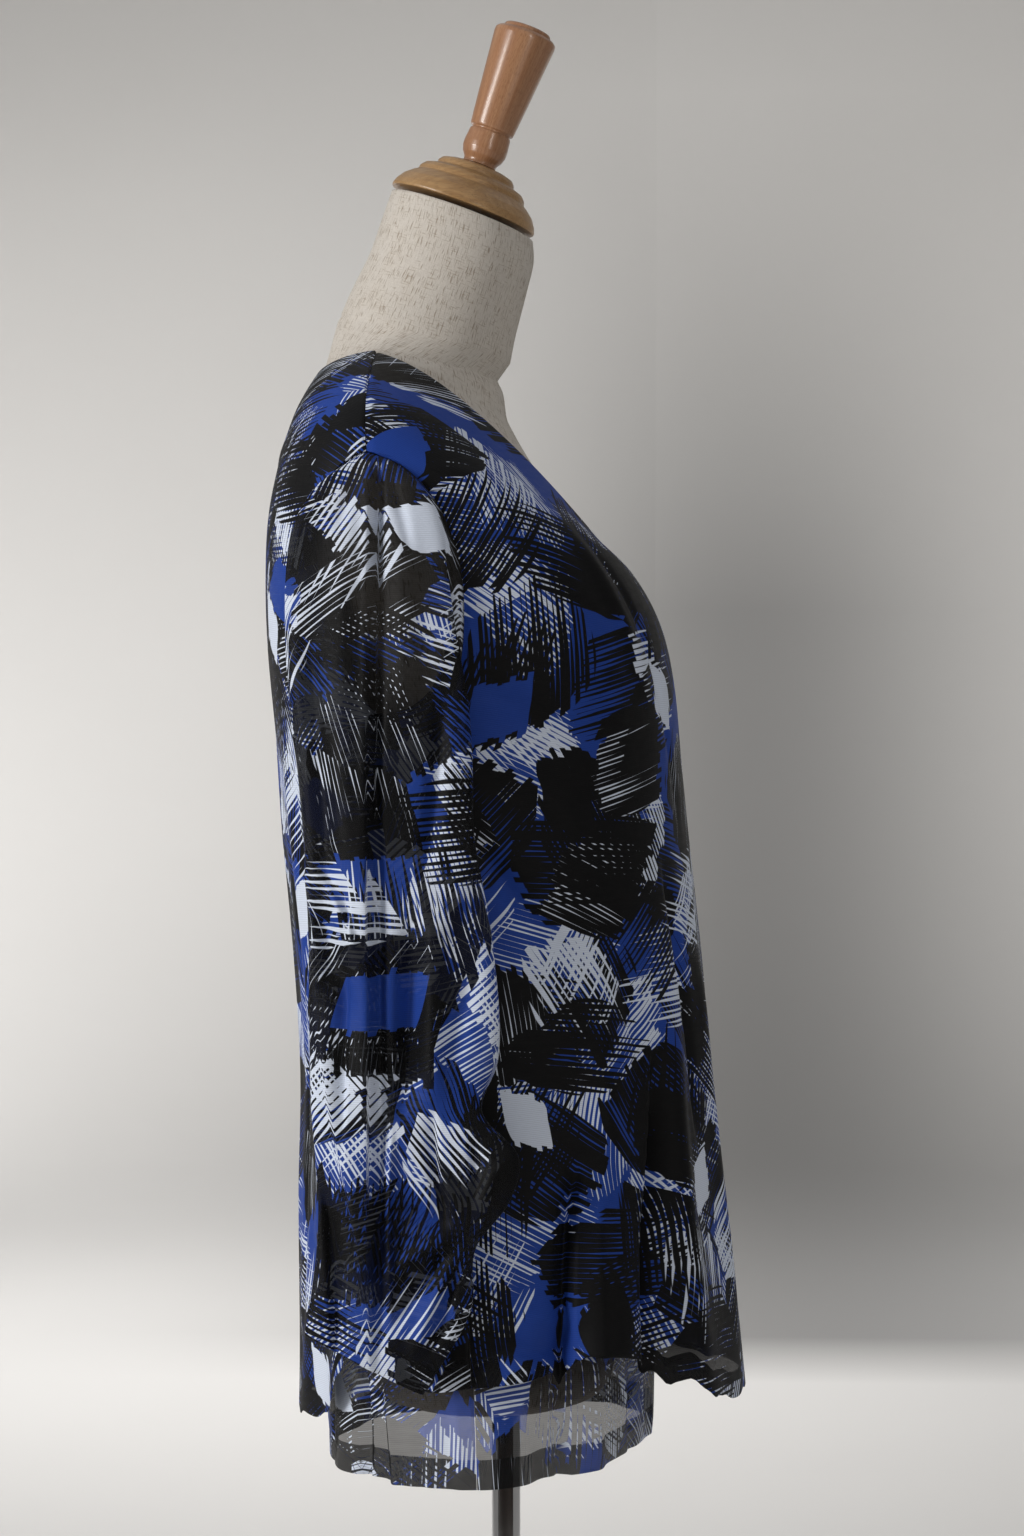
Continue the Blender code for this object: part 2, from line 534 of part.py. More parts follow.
def main():
    for obj in list(bpy.data.objects):
        bpy.data.objects.remove(obj, do_unlink=True)
    home = bpy.data.collections.new("Blouse_on_dress_form")
    bpy.context.scene.collection.children.link(home)

    rows = arm_rows(4, 8, SHOULDER_STATION, UNDERARM_STATION, HPS_STATION, HEM_STATION, ARM_STEPS)
    outer_panel("outer_front", 0, rows, 25, home)
    outer_panel("outer_back", 180, rows, 22, home)
    low = arm_rows(4, 6, SHOULDER_STATION - 0.1, UNDERARM_STATION + 0.15, HPS_STATION + UNDER_TOP, HEM_STATION, ARM_STEPS)
    under_panel("under_front", 0, low, 19, home)
    under_panel("under_back", 180, low, 19, home)
    sleeve("sleeve_right", -1, SLEEVE_RIGHT, CREASE_RIGHT, home)
    sleeve("sleeve_left", 1, SLEEVE_LEFT, CREASE_LEFT, home)

    form_body(home)
    lean = (math.radians(CAP_TILT), 0.0, 0.0)
    for name, profile, mat, steps in (("neck_cap", CAP_PROFILE, "oak", 36), ("finial", FINIAL_PROFILE, "beech", 28)):
        piece = turned(name, profile, mat, home, steps)
        piece.location = CAP_CENTRE
        piece.rotation_euler = lean
    turned(
        "pole",
        ((0.0, FORM_BOTTOM - GAP), (POLE_RADIUS, FORM_BOTTOM - GAP), (POLE_RADIUS, BASE_HEIGHT + GAP), (0.0, BASE_HEIGHT + GAP)),
        "chrome", home, 28,
    )
    turned(
        "base",
        (
            (0.0, BASE_HEIGHT), (0.022, BASE_HEIGHT), (0.0235, BASE_HEIGHT - 0.0015), (0.0245, BASE_EDGE + 0.0042),
            (0.060, BASE_EDGE + 0.0028), (BASE_RADIUS - 0.004, BASE_EDGE), (BASE_RADIUS, BASE_EDGE - 0.003),
            (BASE_RADIUS, 0.0), (0.0, 0.0),
        ),
        "chrome", home, 48,
    )


main()
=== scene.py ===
"""Looks of a two-layer printed blouse worn on a linen dress form.

Metres, +Z up. The floor is z = 0 and the pole's axis is x = y = 0. The front of
the garment faces -Y and its wearer's right side is -X. An angle of 0 is the
centre front, 90 the wearer's left side, 180 the centre back.
"""

import math

import bpy
import numpy as np
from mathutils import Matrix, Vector


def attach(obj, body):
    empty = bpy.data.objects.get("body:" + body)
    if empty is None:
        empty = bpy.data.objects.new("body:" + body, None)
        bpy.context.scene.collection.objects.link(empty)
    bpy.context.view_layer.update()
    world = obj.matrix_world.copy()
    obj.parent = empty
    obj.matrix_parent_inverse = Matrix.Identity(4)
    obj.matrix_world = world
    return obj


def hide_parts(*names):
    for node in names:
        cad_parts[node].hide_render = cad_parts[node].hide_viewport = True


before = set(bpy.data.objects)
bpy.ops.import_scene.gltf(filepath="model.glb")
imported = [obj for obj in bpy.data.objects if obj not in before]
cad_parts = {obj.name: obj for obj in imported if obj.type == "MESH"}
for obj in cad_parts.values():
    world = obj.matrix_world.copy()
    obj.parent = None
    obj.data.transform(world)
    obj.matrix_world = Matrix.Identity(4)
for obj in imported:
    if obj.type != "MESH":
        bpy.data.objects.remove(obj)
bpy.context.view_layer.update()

# ---------------------------------------------------------------- sizes
HPS_STATION = 0.10        # neck point on the shoulder line
VNECK_STATION = 3.15      # point of the V on the centre front
BACKNECK_STATION = 0.30   # centre back neck
SHOULDER_STATION = 4.20   # end of the shoulder seam, top of the armhole
UNDERARM_STATION = 7.05   # bottom of the armhole
HEM_STATION = 13.0
ARM_FRONT_CUT = 13.0      # degrees the armhole bites into the front
ARM_BACK_CUT = 26.0       # and into the back
UNDER_GAP = 0.0040        # underlayer below the outer layer at the shoulder
FORM_GAP = 0.0087
FORM_NECK_GAP = 0.0026
UNDER_TOP = 0.65          # stations from the neckline down to the underlayer's own
EDGE_ANGLE = 0.05         # degrees each panel stops short of a side seam
PLY = 0.0007              # distance between a cloth and its own turned edge
OUTER_TURN = 0.018        # turned-up cloth at the outer hem
NECK_TURN = 0.010
UNDER_TURN = 0.020        # the underlayer's deeper hem
SLEEVE_TURN = 0.016
SLEEVE_VEIL = 0.42        # how sheer the sleeves show, of 1
AROUND = 0.170            # metres of cloth a radian stands for in the fold tables
FLAT_COLUMNS, FLAT_ROWS = 37, 44   # places across and down a panel when it is flattened

POLE_RADIUS = 0.0104
BASE_RADIUS = 0.170
BASE_EDGE = 0.007
BASE_HEIGHT = 0.016
FORM_BOTTOM = 0.614
CAP_CENTRE = (0.0, 0.0313, 1.4614)
CAP_TILT = 20.0           # degrees forward
GAP = 0.0004

# ---------------------------------------------------------------- body tables
BODY_COLUMNS = ("k", "fy", "fz", "sx", "sy", "sz", "by", "bz", "nf", "nb")
OUTER = (
    # k   front y, z        side x, y, z           back y, z       squareness
    (0,   0.0040, 1.3400,   0.0740, 0.0870, 1.3535,  0.1325, 1.3470,  2.05, 2.00),
    (1,  -0.0160, 1.3000,   0.1050, 0.0870, 1.3410,  0.1440, 1.3270,  2.10, 2.04),
    (2,  -0.0400, 1.2620,   0.1400, 0.0870, 1.3240,  0.1530, 1.3050,  2.15, 2.08),
    (3,  -0.0660, 1.2250,   0.1720, 0.0860, 1.3040,  0.1615, 1.2720,  2.25, 2.12),
    (4,  -0.0920, 1.1980,   0.1920, 0.0840, 1.2780,  0.1680, 1.2350,  2.30, 2.16),
    (5,  -0.1110, 1.1630,   0.1990, 0.0800, 1.2400,  0.1700, 1.1950,  2.35, 2.16),
    (6,  -0.1210, 1.1200,   0.1970, 0.0700, 1.1800,  0.1690, 1.1450,  2.35, 2.16),
    (7,  -0.1267, 1.0586,   0.1870, 0.0550, 1.0900,  0.1640, 1.0850,  2.30, 2.12),
    (8,  -0.1325, 1.0010,   0.1830, 0.0400, 1.0100,  0.1570, 1.0150,  2.25, 2.12),
    (9,  -0.1411, 0.9218,   0.1800, 0.0300, 0.9250,  0.1485, 0.9250,  2.20, 2.08),
    (10, -0.1480, 0.8400,   0.1790, 0.0220, 0.8400,  0.1435, 0.8400,  2.20, 2.08),
    (11, -0.1570, 0.7550,   0.1800, 0.0180, 0.7550,  0.1450, 0.7550,  2.15, 2.08),
    (12, -0.1660, 0.6800,   0.1830, 0.0150, 0.6800,  0.1465, 0.6800,  2.15, 2.08),
    (13, -0.1740, 0.6000,   0.1860, 0.0120, 0.6000,  0.1480, 0.6000,  2.15, 2.08),
)
UNDER = (
    (4,  -0.0870, 1.1950,   0.1860, 0.0840, 1.2740,  0.1615, 1.2330,  2.30, 2.16),
    (5,  -0.1056, 1.1610,   0.1910, 0.0800, 1.2370,  0.1635, 1.1940,  2.35, 2.16),
    (6,  -0.1160, 1.1200,   0.1850, 0.0700, 1.1800,  0.1640, 1.1450,  2.35, 2.16),
    (7,  -0.1190, 1.0586,   0.1740, 0.0550, 1.0900,  0.1570, 1.0850,  2.30, 2.12),
    (8,  -0.1180, 1.0010,   0.1700, 0.0420, 1.0100,  0.1500, 1.0150,  2.25, 2.12),
    (9,  -0.1150, 0.9218,   0.1680, 0.0320, 0.9250,  0.1420, 0.9250,  2.20, 2.08),
    (10, -0.1120, 0.8400,   0.1670, 0.0240, 0.8400,  0.1350, 0.8400,  2.20, 2.08),
    (11, -0.1090, 0.7550,   0.1670, 0.0180, 0.7550,  0.1300, 0.7550,  2.15, 2.08),
    (12, -0.1065, 0.6700,   0.1670, 0.0140, 0.6700,  0.1275, 0.6700,  2.15, 2.08),
    (13, -0.1040, 0.5880,   0.1670, 0.0110, 0.5730,  0.1260, 0.5730,  2.15, 2.08),
)
FORM = (
    (4,  -0.0845, 1.1940,   0.1815, 0.0830, 1.2690,  0.1600, 1.2320,  2.25, 2.12),
    (5,  -0.1015, 1.1600,   0.1805, 0.0790, 1.2350,  0.1610, 1.1940,  2.30, 2.12),
    (6,  -0.1090, 1.1200,   0.1710, 0.0690, 1.1800,  0.1565, 1.1450,  2.30, 2.12),
    (7,  -0.1110, 1.0650,   0.1600, 0.0540, 1.0850,  0.1450, 1.0800,  2.25, 2.08),
    (8,  -0.0960, 1.0000,   0.1480, 0.0400, 1.0050,  0.1270, 1.0050,  2.20, 2.08),
    (9,  -0.0800, 0.9250,   0.1360, 0.0300, 0.9250,  0.1100, 0.9250,  2.10, 2.08),
    (10, -0.0790, 0.8400,   0.1480, 0.0240, 0.8400,  0.1120, 0.8400,  2.15, 2.12),
    (11, -0.0840, 0.7550,   0.1580, 0.0190, 0.7550,  0.1170, 0.7550,  2.15, 2.12),
    (12, -0.0840, 0.6900,   0.1560, 0.0150, 0.6900,  0.1120, 0.6900,  2.15, 2.08),
    (13, -0.0790, 0.6400,   0.1480, 0.0120, 0.6400,  0.0980, 0.6400,  2.15, 2.08),
)
# The outer hem: height of the edge by angle from the centre front (0) to the centre back (180)
HEM_COLUMNS = ("angle", "right_z", "left_z")
OUTER_HEM = (
    (0,   0.6200, 0.6200),
    (20,  0.6200, 0.6210),
    (33,  0.6310, 0.6240),
    (45,  0.6470, 0.6280),
    (56,  0.6610, 0.6430),
    (67,  0.6620, 0.6580),
    (75,  0.6530, 0.6600),
    (90,  0.6450, 0.6480),
    (108, 0.6430, 0.6550),
    (119, 0.6600, 0.6570),
    (130, 0.6620, 0.6580),
    (145, 0.6140, 0.6160),
    (162, 0.6080, 0.6100),
    (180, 0.6080, 0.6080),
)
# Small waves along that hem, in degrees and metres
WAVE_COLUMNS = ("angle", "half_width", "rise")
HEM_WAVES = (
    (-71.3, 1.5, -0.0130),
    (-66.0, 1.5,  0.0020),
    (-52.5, 1.6,  0.0015),
    (-47.8, 1.5, -0.0030),
    (-45.2, 1.2,  0.0020),
    (-42.2, 1.3, -0.0045),
    (-37.8, 1.7,  0.0045),
    (-31.5, 1.8, -0.0030),
    (-24.0, 2.2,  0.0020),
    (-9.0,  2.5,  0.0030),
    (3.0,   2.8, -0.0030),
    (15.0,  2.4,  0.0025),
    (33.0,  2.2, -0.0035),
    (44.0,  2.0,  0.0030),
    (58.0,  2.0, -0.0050),
    (77.0,  1.8, -0.0060),
    (103.0, 2.4,  0.0030),
    (121.0, 2.2, -0.0050),
    (150.0, 2.4,  0.0030),
    (166.0, 2.2, -0.0040),
    (181.0, 2.6,  0.0030),
    (196.0, 2.2, -0.0035),
    (212.0, 2.4,  0.0030),
    (226.0, 2.0, -0.0040),
)
# Soft flutes: a trough (negative depth) or a ridge down a cloth, wider and deeper towards its hem
FLUTE_COLUMNS = ("angle", "half_width", "depth", "top_z", "lean")
OUTER_FLUTES = (
    (-42, 7.5,  -0.0170, 0.860, -5.0),
    (-32, 7.0,   0.0060, 0.840, -2.0),
    (-59, 8.0,   0.0050, 0.840,  0.0),
    (-73, 5.5,  -0.0120, 0.760,  2.0),
    (-84, 8.0,   0.0040, 0.800,  0.0),
    (-108, 9.0, -0.0080, 0.900,  0.0),
    (-150, 8.0, -0.0070, 0.900,  3.0),
    (24,  9.0,   0.0060, 0.820,  0.0),
    (52,  9.0,  -0.0130, 0.850, -3.0),
    (80,  8.0,  -0.0070, 0.780,  0.0),
    (118, 10.0, -0.0100, 0.880,  0.0),
    (142, 9.0,   0.0060, 0.840,  0.0),
    (164, 9.0,  -0.0080, 0.860,  0.0),
)
UNDER_FLUTES = (
    (-66, 6.5,  -0.0110, 0.720,  0.0),
    (-52, 7.0,   0.0050, 0.720,  0.0),
    (-128, 7.0, -0.0090, 0.720,  0.0),
    (-146, 7.0,  0.0040, 0.700,  0.0),
    (-98, 9.0,  -0.0035, 0.700,  0.0),
    (30,  8.0,  -0.0060, 0.720,  0.0),
    (76,  8.0,  -0.0080, 0.720,  0.0),
    (122, 9.0,  -0.0080, 0.720,  0.0),
    (158, 8.0,  -0.0050, 0.700,  0.0),
)

# Sleeves: each row is a flattened ring. z is its front and back folds' height, tilt how much
# higher its outer side is than its inner side, dip how much lower its front fold is.
SLEEVE_COLUMNS = ("z", "tilt", "dip", "xo", "xi", "yb", "yf")
SLEEVE_RIGHT = (
    (1.1780, 0.0800, 0.000, 0.2060, 0.1925, 0.1345,  0.0290),
    (1.1300, 0.0740, 0.000, 0.2120, 0.1930, 0.1345,  0.0225),
    (1.0750, 0.0620, 0.000, 0.2160, 0.1920, 0.1290,  0.0125),
    (1.0050, 0.0460, 0.000, 0.2180, 0.1910, 0.1235,  0.0100),
    (0.9350, 0.0300, 0.000, 0.2175, 0.1900, 0.1210, -0.0025),
    (0.8700, 0.0160, 0.000, 0.2160, 0.1900, 0.1200, -0.0055),
    (0.8290, 0.0080, 0.000, 0.2150, 0.1900, 0.1190,  0.0045),
    (0.8020, 0.0030, 0.000, 0.2150, 0.1900, 0.1165, -0.0190),
    (0.7720, 0.0000, 0.000, 0.2145, 0.1905, 0.1145, -0.0130),
    (0.7440, 0.0000, 0.004, 0.2140, 0.1910, 0.1150,  0.0090),
    (0.7050, 0.0000, 0.012, 0.2135, 0.1920, 0.1190,  0.0130),
    (0.6640, 0.0000, 0.040, 0.2140, 0.1930, 0.1235,  0.0440),
)
SLEEVE_LEFT = (
    (1.1780, 0.0800, 0.000, 0.2060, 0.1925, 0.1360,  0.0290),
    (1.1300, 0.0740, 0.000, 0.2120, 0.1930, 0.1380,  0.0240),
    (1.0750, 0.0620, 0.000, 0.2160, 0.1920, 0.1400,  0.0200),
    (1.0050, 0.0460, 0.000, 0.2180, 0.1910, 0.1440,  0.0190),
    (0.9350, 0.0300, 0.000, 0.2175, 0.1900, 0.1520,  0.0260),
    (0.8700, 0.0160, 0.000, 0.2160, 0.1900, 0.1610,  0.0320),
    (0.8290, 0.0080, 0.000, 0.2150, 0.1900, 0.1640,  0.0380),
    (0.7900, 0.0030, 0.000, 0.2150, 0.1900, 0.1660,  0.0440),
    (0.7440, 0.0000, 0.000, 0.2145, 0.1905, 0.1680,  0.0500),
    (0.7050, 0.0000, 0.000, 0.2140, 0.1910, 0.1710,  0.0560),
    (0.6600, 0.0000, 0.006, 0.2150, 0.1920, 0.1715,  0.0600),
)

NECK_COLUMNS = ("y", "z", "half_depth", "half_width", "tilt")
NECK = (
    (0.0592, 1.3660, 0.0638, 0.0650, 13.0),
    (0.0520, 1.3880, 0.0612, 0.0600, 15.5),
    (0.0418, 1.4157, 0.0582, 0.0570, 14.5),
    (0.0345, 1.4400, 0.0568, 0.0552, 17.0),
    (0.0314, 1.4570, 0.0540, 0.0540, 20.0),
)
# Turned profiles: radius and height above the cap's lower rim, top to bottom
CAP_PROFILE = (
    (0.0, 0.0340), (0.0120, 0.0338), (0.0215, 0.0329), (0.0268, 0.0313), (0.0288, 0.0288), (0.0292, 0.0262),
    (0.0325, 0.0252), (0.0372, 0.0235), (0.0398, 0.0205), (0.0404, 0.0175), (0.0440, 0.0152), (0.0492, 0.0108),
    (0.0528, 0.0055), (0.0542, 0.0016), (0.0538, 0.0), (0.0, 0.0),
)
FINIAL_PROFILE = (
    (0.0, 0.1390), (0.0160, 0.1388), (0.0173, 0.1376), (0.0175, 0.1355), (0.0206, 0.1349), (0.0226, 0.1330),
    (0.0229, 0.1305), (0.0214, 0.1150), (0.0186, 0.0850), (0.0164, 0.0630), (0.0158, 0.0612), (0.0143, 0.0606),
    (0.0143, 0.0594), (0.0153, 0.0586), (0.0157, 0.0545), (0.0163, 0.0495), (0.0162, 0.0455), (0.0148, 0.0412),
    (0.0124, 0.0378), (0.0120, 0.0360), (0.0127, 0.0345), (0.0, 0.0345),
)

# ---------------------------------------------------------------- folds
# Each fold is a line drawn on the cloth, through its places. On the body a place is (angle, z), on a
# sleeve (y, z). width is its half width and depth its height, negative for a trough. side is 0 for an
# even fold, or 1 or -1 for one that is steep on its left or right. tuck is the cloth hidden in it.
FOLD_COLUMNS = ("places", "width", "depth", "side", "tuck")
OUTER_FOLDS = (
    # wearer's right side, towards the camera
    (((-40, 1.232), (-29, 1.175), (-18, 1.080), (-16, 1.000)), 0.0050, -0.0022, 0, 0.000),
    (((-47, 1.240), (-36, 1.170), (-26, 1.090)), 0.0090, 0.0032, 0, 0.000),
    (((-40, 0.885), (-44, 0.790), (-48, 0.720), (-49, 0.600)), 0.0080, -0.0150, 1, 0.018),
    (((-32, 0.920), (-35, 0.790), (-37, 0.600)), 0.0130, 0.0070, 0, 0.000),
    (((-65, 0.800), (-69, 0.720), (-71.5, 0.590)), 0.0065, -0.0130, -1, 0.014),
    (((-60, 0.800), (-63, 0.720), (-65, 0.590)), 0.0100, 0.0050, 0, 0.000),
    (((-58, 0.960), (-57, 0.850), (-56, 0.720)), 0.0130, 0.0038, 0, 0.000),
    (((-95, 0.690), (-84, 0.676), (-76, 0.668), (-66, 0.670)), 0.0060, -0.0045, 0, 0.000),
    (((-95, 0.720), (-84, 0.698), (-76, 0.690), (-64, 0.694)), 0.0085, 0.0045, 0, 0.000),
    (((-80, 1.120), (-62, 1.090), (-48, 1.075)), 0.0080, -0.0022, 0, 0.000),
    (((-80, 1.090), (-64, 1.040), (-52, 1.010)), 0.0100, 0.0026, 0, 0.000),
    (((-84, 1.020), (-72, 0.960), (-58, 0.925)), 0.0080, -0.0045, 0, 0.000),
    (((-30, 1.010), (-26, 0.900), (-24, 0.780)), 0.0090, -0.0060, 1, 0.004),
    (((-14, 0.960), (-12, 0.820), (-10, 0.600)), 0.0130, 0.0042, 0, 0.000),
    (((-50, 0.940), (-47, 0.880), (-44, 0.840)), 0.0080, -0.0028, 0, 0.000),
    (((-82, 1.262), (-70, 1.255), (-60, 1.242)), 0.0070, 0.0016, 0, 0.000),
    (((-80, 1.235), (-70, 1.215), (-62, 1.190)), 0.0080, -0.0020, 0, 0.000),
    # front, left half
    (((8, 0.930), (10, 0.800), (12, 0.580)), 0.0110, -0.0036, 0, 0.000),
    (((26, 0.970), (24, 0.860), (23, 0.600)), 0.0140, 0.0040, 0, 0.000),
    (((46, 0.900), (50, 0.780), (52, 0.580)), 0.0090, -0.0070, -1, 0.010),
    (((30, 1.060), (34, 0.980), (36, 0.900)), 0.0090, -0.0024, 0, 0.000),
    (((80, 1.110), (64, 1.080), (52, 1.062)), 0.0080, -0.0026, 0, 0.000),
    (((78, 1.070), (66, 1.020), (56, 0.985)), 0.0100, 0.0026, 0, 0.000),
    (((66, 0.980), (68, 0.860), (70, 0.740)), 0.0110, 0.0032, 0, 0.000),
    (((76, 0.860), (79, 0.740), (80, 0.580)), 0.0080, -0.0050, 1, 0.006),
    (((34, 1.225), (26, 1.170), (19, 1.090)), 0.0080, 0.0018, 0, 0.000),
    (((80, 1.240), (70, 1.215), (60, 1.195)), 0.0080, -0.0018, 0, 0.000),
    # back
    (((104, 0.980), (107, 0.820), (108, 0.600)), 0.0110, -0.0050, 0, 0.000),
    (((122, 1.060), (120, 0.900), (119, 0.600)), 0.0090, -0.0062, 1, 0.008),
    (((134, 1.120), (136, 0.900), (139, 0.600)), 0.0130, 0.0044, 0, 0.000),
    (((150, 1.020), (152, 0.850), (150, 0.600)), 0.0090, -0.0050, 0, 0.000),
    (((168, 1.080), (166, 0.900), (165, 0.600)), 0.0100, -0.0060, -1, 0.008),
    (((181, 1.140), (182, 0.900), (183, 0.600)), 0.0140, 0.0044, 0, 0.000),
    (((196, 1.060), (197, 0.860), (195, 0.600)), 0.0090, -0.0052, 0, 0.000),
    (((210, 1.130), (211, 0.920), (212, 0.600)), 0.0120, 0.0040, 0, 0.000),
    (((224, 1.040), (226, 0.860), (225, 0.600)), 0.0090, -0.0056, 1, 0.006),
    (((242, 1.000), (244, 0.840), (245, 0.600)), 0.0100, -0.0050, 0, 0.000),
    (((112, 1.200), (130, 1.165), (150, 1.150)), 0.0090, -0.0022, 0, 0.000),
    (((248, 1.200), (230, 1.170), (212, 1.152)), 0.0090, -0.0022, 0, 0.000),
    (((150, 1.290), (180, 1.276), (210, 1.290)), 0.0080, 0.0012, 0, 0.000),
)
UNDER_FOLDS = (
    (((-64, 0.680), (-61, 0.620), (-58, 0.540)), 0.0060, -0.0100, -1, 0.010),
    (((-52, 0.680), (-50, 0.620), (-48, 0.560)), 0.0100, 0.0050, 0, 0.000),
    (((-74, 0.660), (-75, 0.610), (-73, 0.560)), 0.0080, 0.0020, 0, 0.000),
    (((-136, 0.670), (-136, 0.600), (-138, 0.530)), 0.0060, -0.0090, 1, 0.008),
    (((-122, 0.650), (-120, 0.600), (-118, 0.540)), 0.0080, 0.0050, 0, 0.000),
    (((-112, 0.640), (-110, 0.600), (-108, 0.550)), 0.0060, -0.0024, 0, 0.000),
    (((-96, 0.640), (-95, 0.590), (-96, 0.540)), 0.0070, 0.0020, 0, 0.000),
    (((-30, 0.700), (-28, 0.630), (-27, 0.560)), 0.0070, -0.0040, 0, 0.000),
    (((-12, 0.700), (-10, 0.630), (-8, 0.560)), 0.0090, 0.0034, 0, 0.000),
    (((14, 0.700), (16, 0.630), (18, 0.560)), 0.0070, -0.0040, 0, 0.000),
    (((44, 0.700), (46, 0.630), (47, 0.560)), 0.0080, 0.0036, 0, 0.000),
    (((70, 0.700), (72, 0.630), (74, 0.560)), 0.0060, -0.0046, 1, 0.006),
    (((100, 0.700), (102, 0.630), (104, 0.560)), 0.0080, 0.0030, 0, 0.000),
    (((134, 0.700), (136, 0.630), (138, 0.560)), 0.0060, -0.0046, 0, 0.000),
    (((176, 0.700), (178, 0.630), (180, 0.560)), 0.0080, 0.0030, 0, 0.000),
    (((200, 0.700), (202, 0.630), (203, 0.560)), 0.0060, -0.0040, 0, 0.000),
)
# On the outer face of the wearer's right sleeve
SLEEVE_RIGHT_FOLDS = (
    (((0.0748, 1.325), (0.0745, 1.200), (0.0752, 1.105), (0.0766, 0.960)), 0.0038, -0.0115, 0, 0.014),
    (((0.0800, 1.315), (0.0795, 1.200), (0.0800, 1.105), (0.0812, 0.980)), 0.0050, 0.0040, 0, 0.000),
    (((0.0930, 1.280), (0.0950, 1.180), (0.0950, 1.060), (0.0940, 0.960)), 0.0130, 0.0060, 0, 0.000),
    (((0.0590, 1.245), (0.0560, 1.160), (0.0560, 1.080)), 0.0095, 0.0050, 0, 0.000),
    (((0.0700, 1.262), (0.0600, 1.236), (0.0500, 1.190)), 0.0042, -0.0026, 0, 0.000),
    (((0.0800, 1.264), (0.0920, 1.245), (0.1030, 1.205)), 0.0044, -0.0026, 0, 0.000),
    (((0.0812, 1.120), (0.0803, 0.990), (0.0796, 0.850), (0.0792, 0.760), (0.0800, 0.600)), 0.0150, 0.0085, 1, 0.016),
    (((0.0740, 1.060), (0.0735, 0.930), (0.0728, 0.800), (0.0735, 0.620)), 0.0046, -0.0070, 0, 0.000),
    (((0.0500, 0.975), (0.0530, 0.893), (0.0590, 0.815)), 0.0080, -0.0110, 0, 0.006),
    (((0.0400, 1.000), (0.0380, 0.900), (0.0360, 0.820)), 0.0090, 0.0060, 0, 0.000),
    (((0.1180, 0.915), (0.1020, 0.821), (0.0880, 0.757), (0.0800, 0.690)), 0.0100, 0.0080, -1, 0.010),
    (((0.1215, 1.000), (0.1010, 0.972), (0.0790, 0.922)), 0.0080, 0.0055, 1, 0.004),
    (((0.1215, 0.975), (0.1060, 0.935), (0.0860, 0.880)), 0.0080, -0.0060, 0, 0.000),
    (((0.0210, 0.748), (0.0420, 0.718), (0.0680, 0.686)), 0.0045, -0.0045, 0, 0.000),
    (((0.0215, 0.742), (0.0380, 0.706), (0.0530, 0.664)), 0.0045, 0.0040, 0, 0.000),
    (((0.0200, 0.736), (0.0300, 0.700), (0.0400, 0.664)), 0.0040, -0.0040, 0, 0.000),
    (((0.0225, 0.750), (0.0500, 0.737), (0.0760, 0.716)), 0.0052, 0.0045, 0, 0.000),
    (((0.0230, 0.756), (0.0440, 0.762), (0.0620, 0.775)), 0.0050, -0.0040, 0, 0.000),
    (((0.0250, 0.750), (0.0330, 0.790), (0.0370, 0.840)), 0.0055, -0.0050, -1, 0.006),
    (((0.0120, 0.752), (0.0080, 0.790), (0.0100, 0.822)), 0.0050, -0.0034, 0, 0.000),
    (((-0.0150, 0.806), (0.0000, 0.786), (0.0130, 0.758)), 0.0050, 0.0032, 0, 0.000),
    (((0.1130, 0.790), (0.1060, 0.730), (0.1010, 0.650)), 0.0070, -0.0070, -1, 0.006),
    (((0.0930, 1.000), (0.0945, 0.900), (0.0960, 0.790)), 0.0060, -0.0050, 1, 0.000),
    (((0.1080, 1.080), (0.1085, 0.980), (0.1075, 0.890)), 0.0070, -0.0045, 0, 0.000),
    (((0.1230, 1.160), (0.1160, 1.090), (0.1110, 1.010)), 0.0070, -0.0055, 0, 0.000),
    (((0.0300, 1.120), (0.0360, 1.040), (0.0440, 0.980)), 0.0060, -0.0060, 0, 0.000),
    (((0.0150, 1.000), (0.0280, 0.960), (0.0440, 0.930)), 0.0080, 0.0028, 0, 0.000),
    (((0.0080, 0.940), (0.0200, 0.890), (0.0300, 0.850)), 0.0070, -0.0032, 0, 0.000),
    (((0.0640, 0.830), (0.0660, 0.760), (0.0640, 0.680)), 0.0065, 0.0060, 1, 0.000),
)
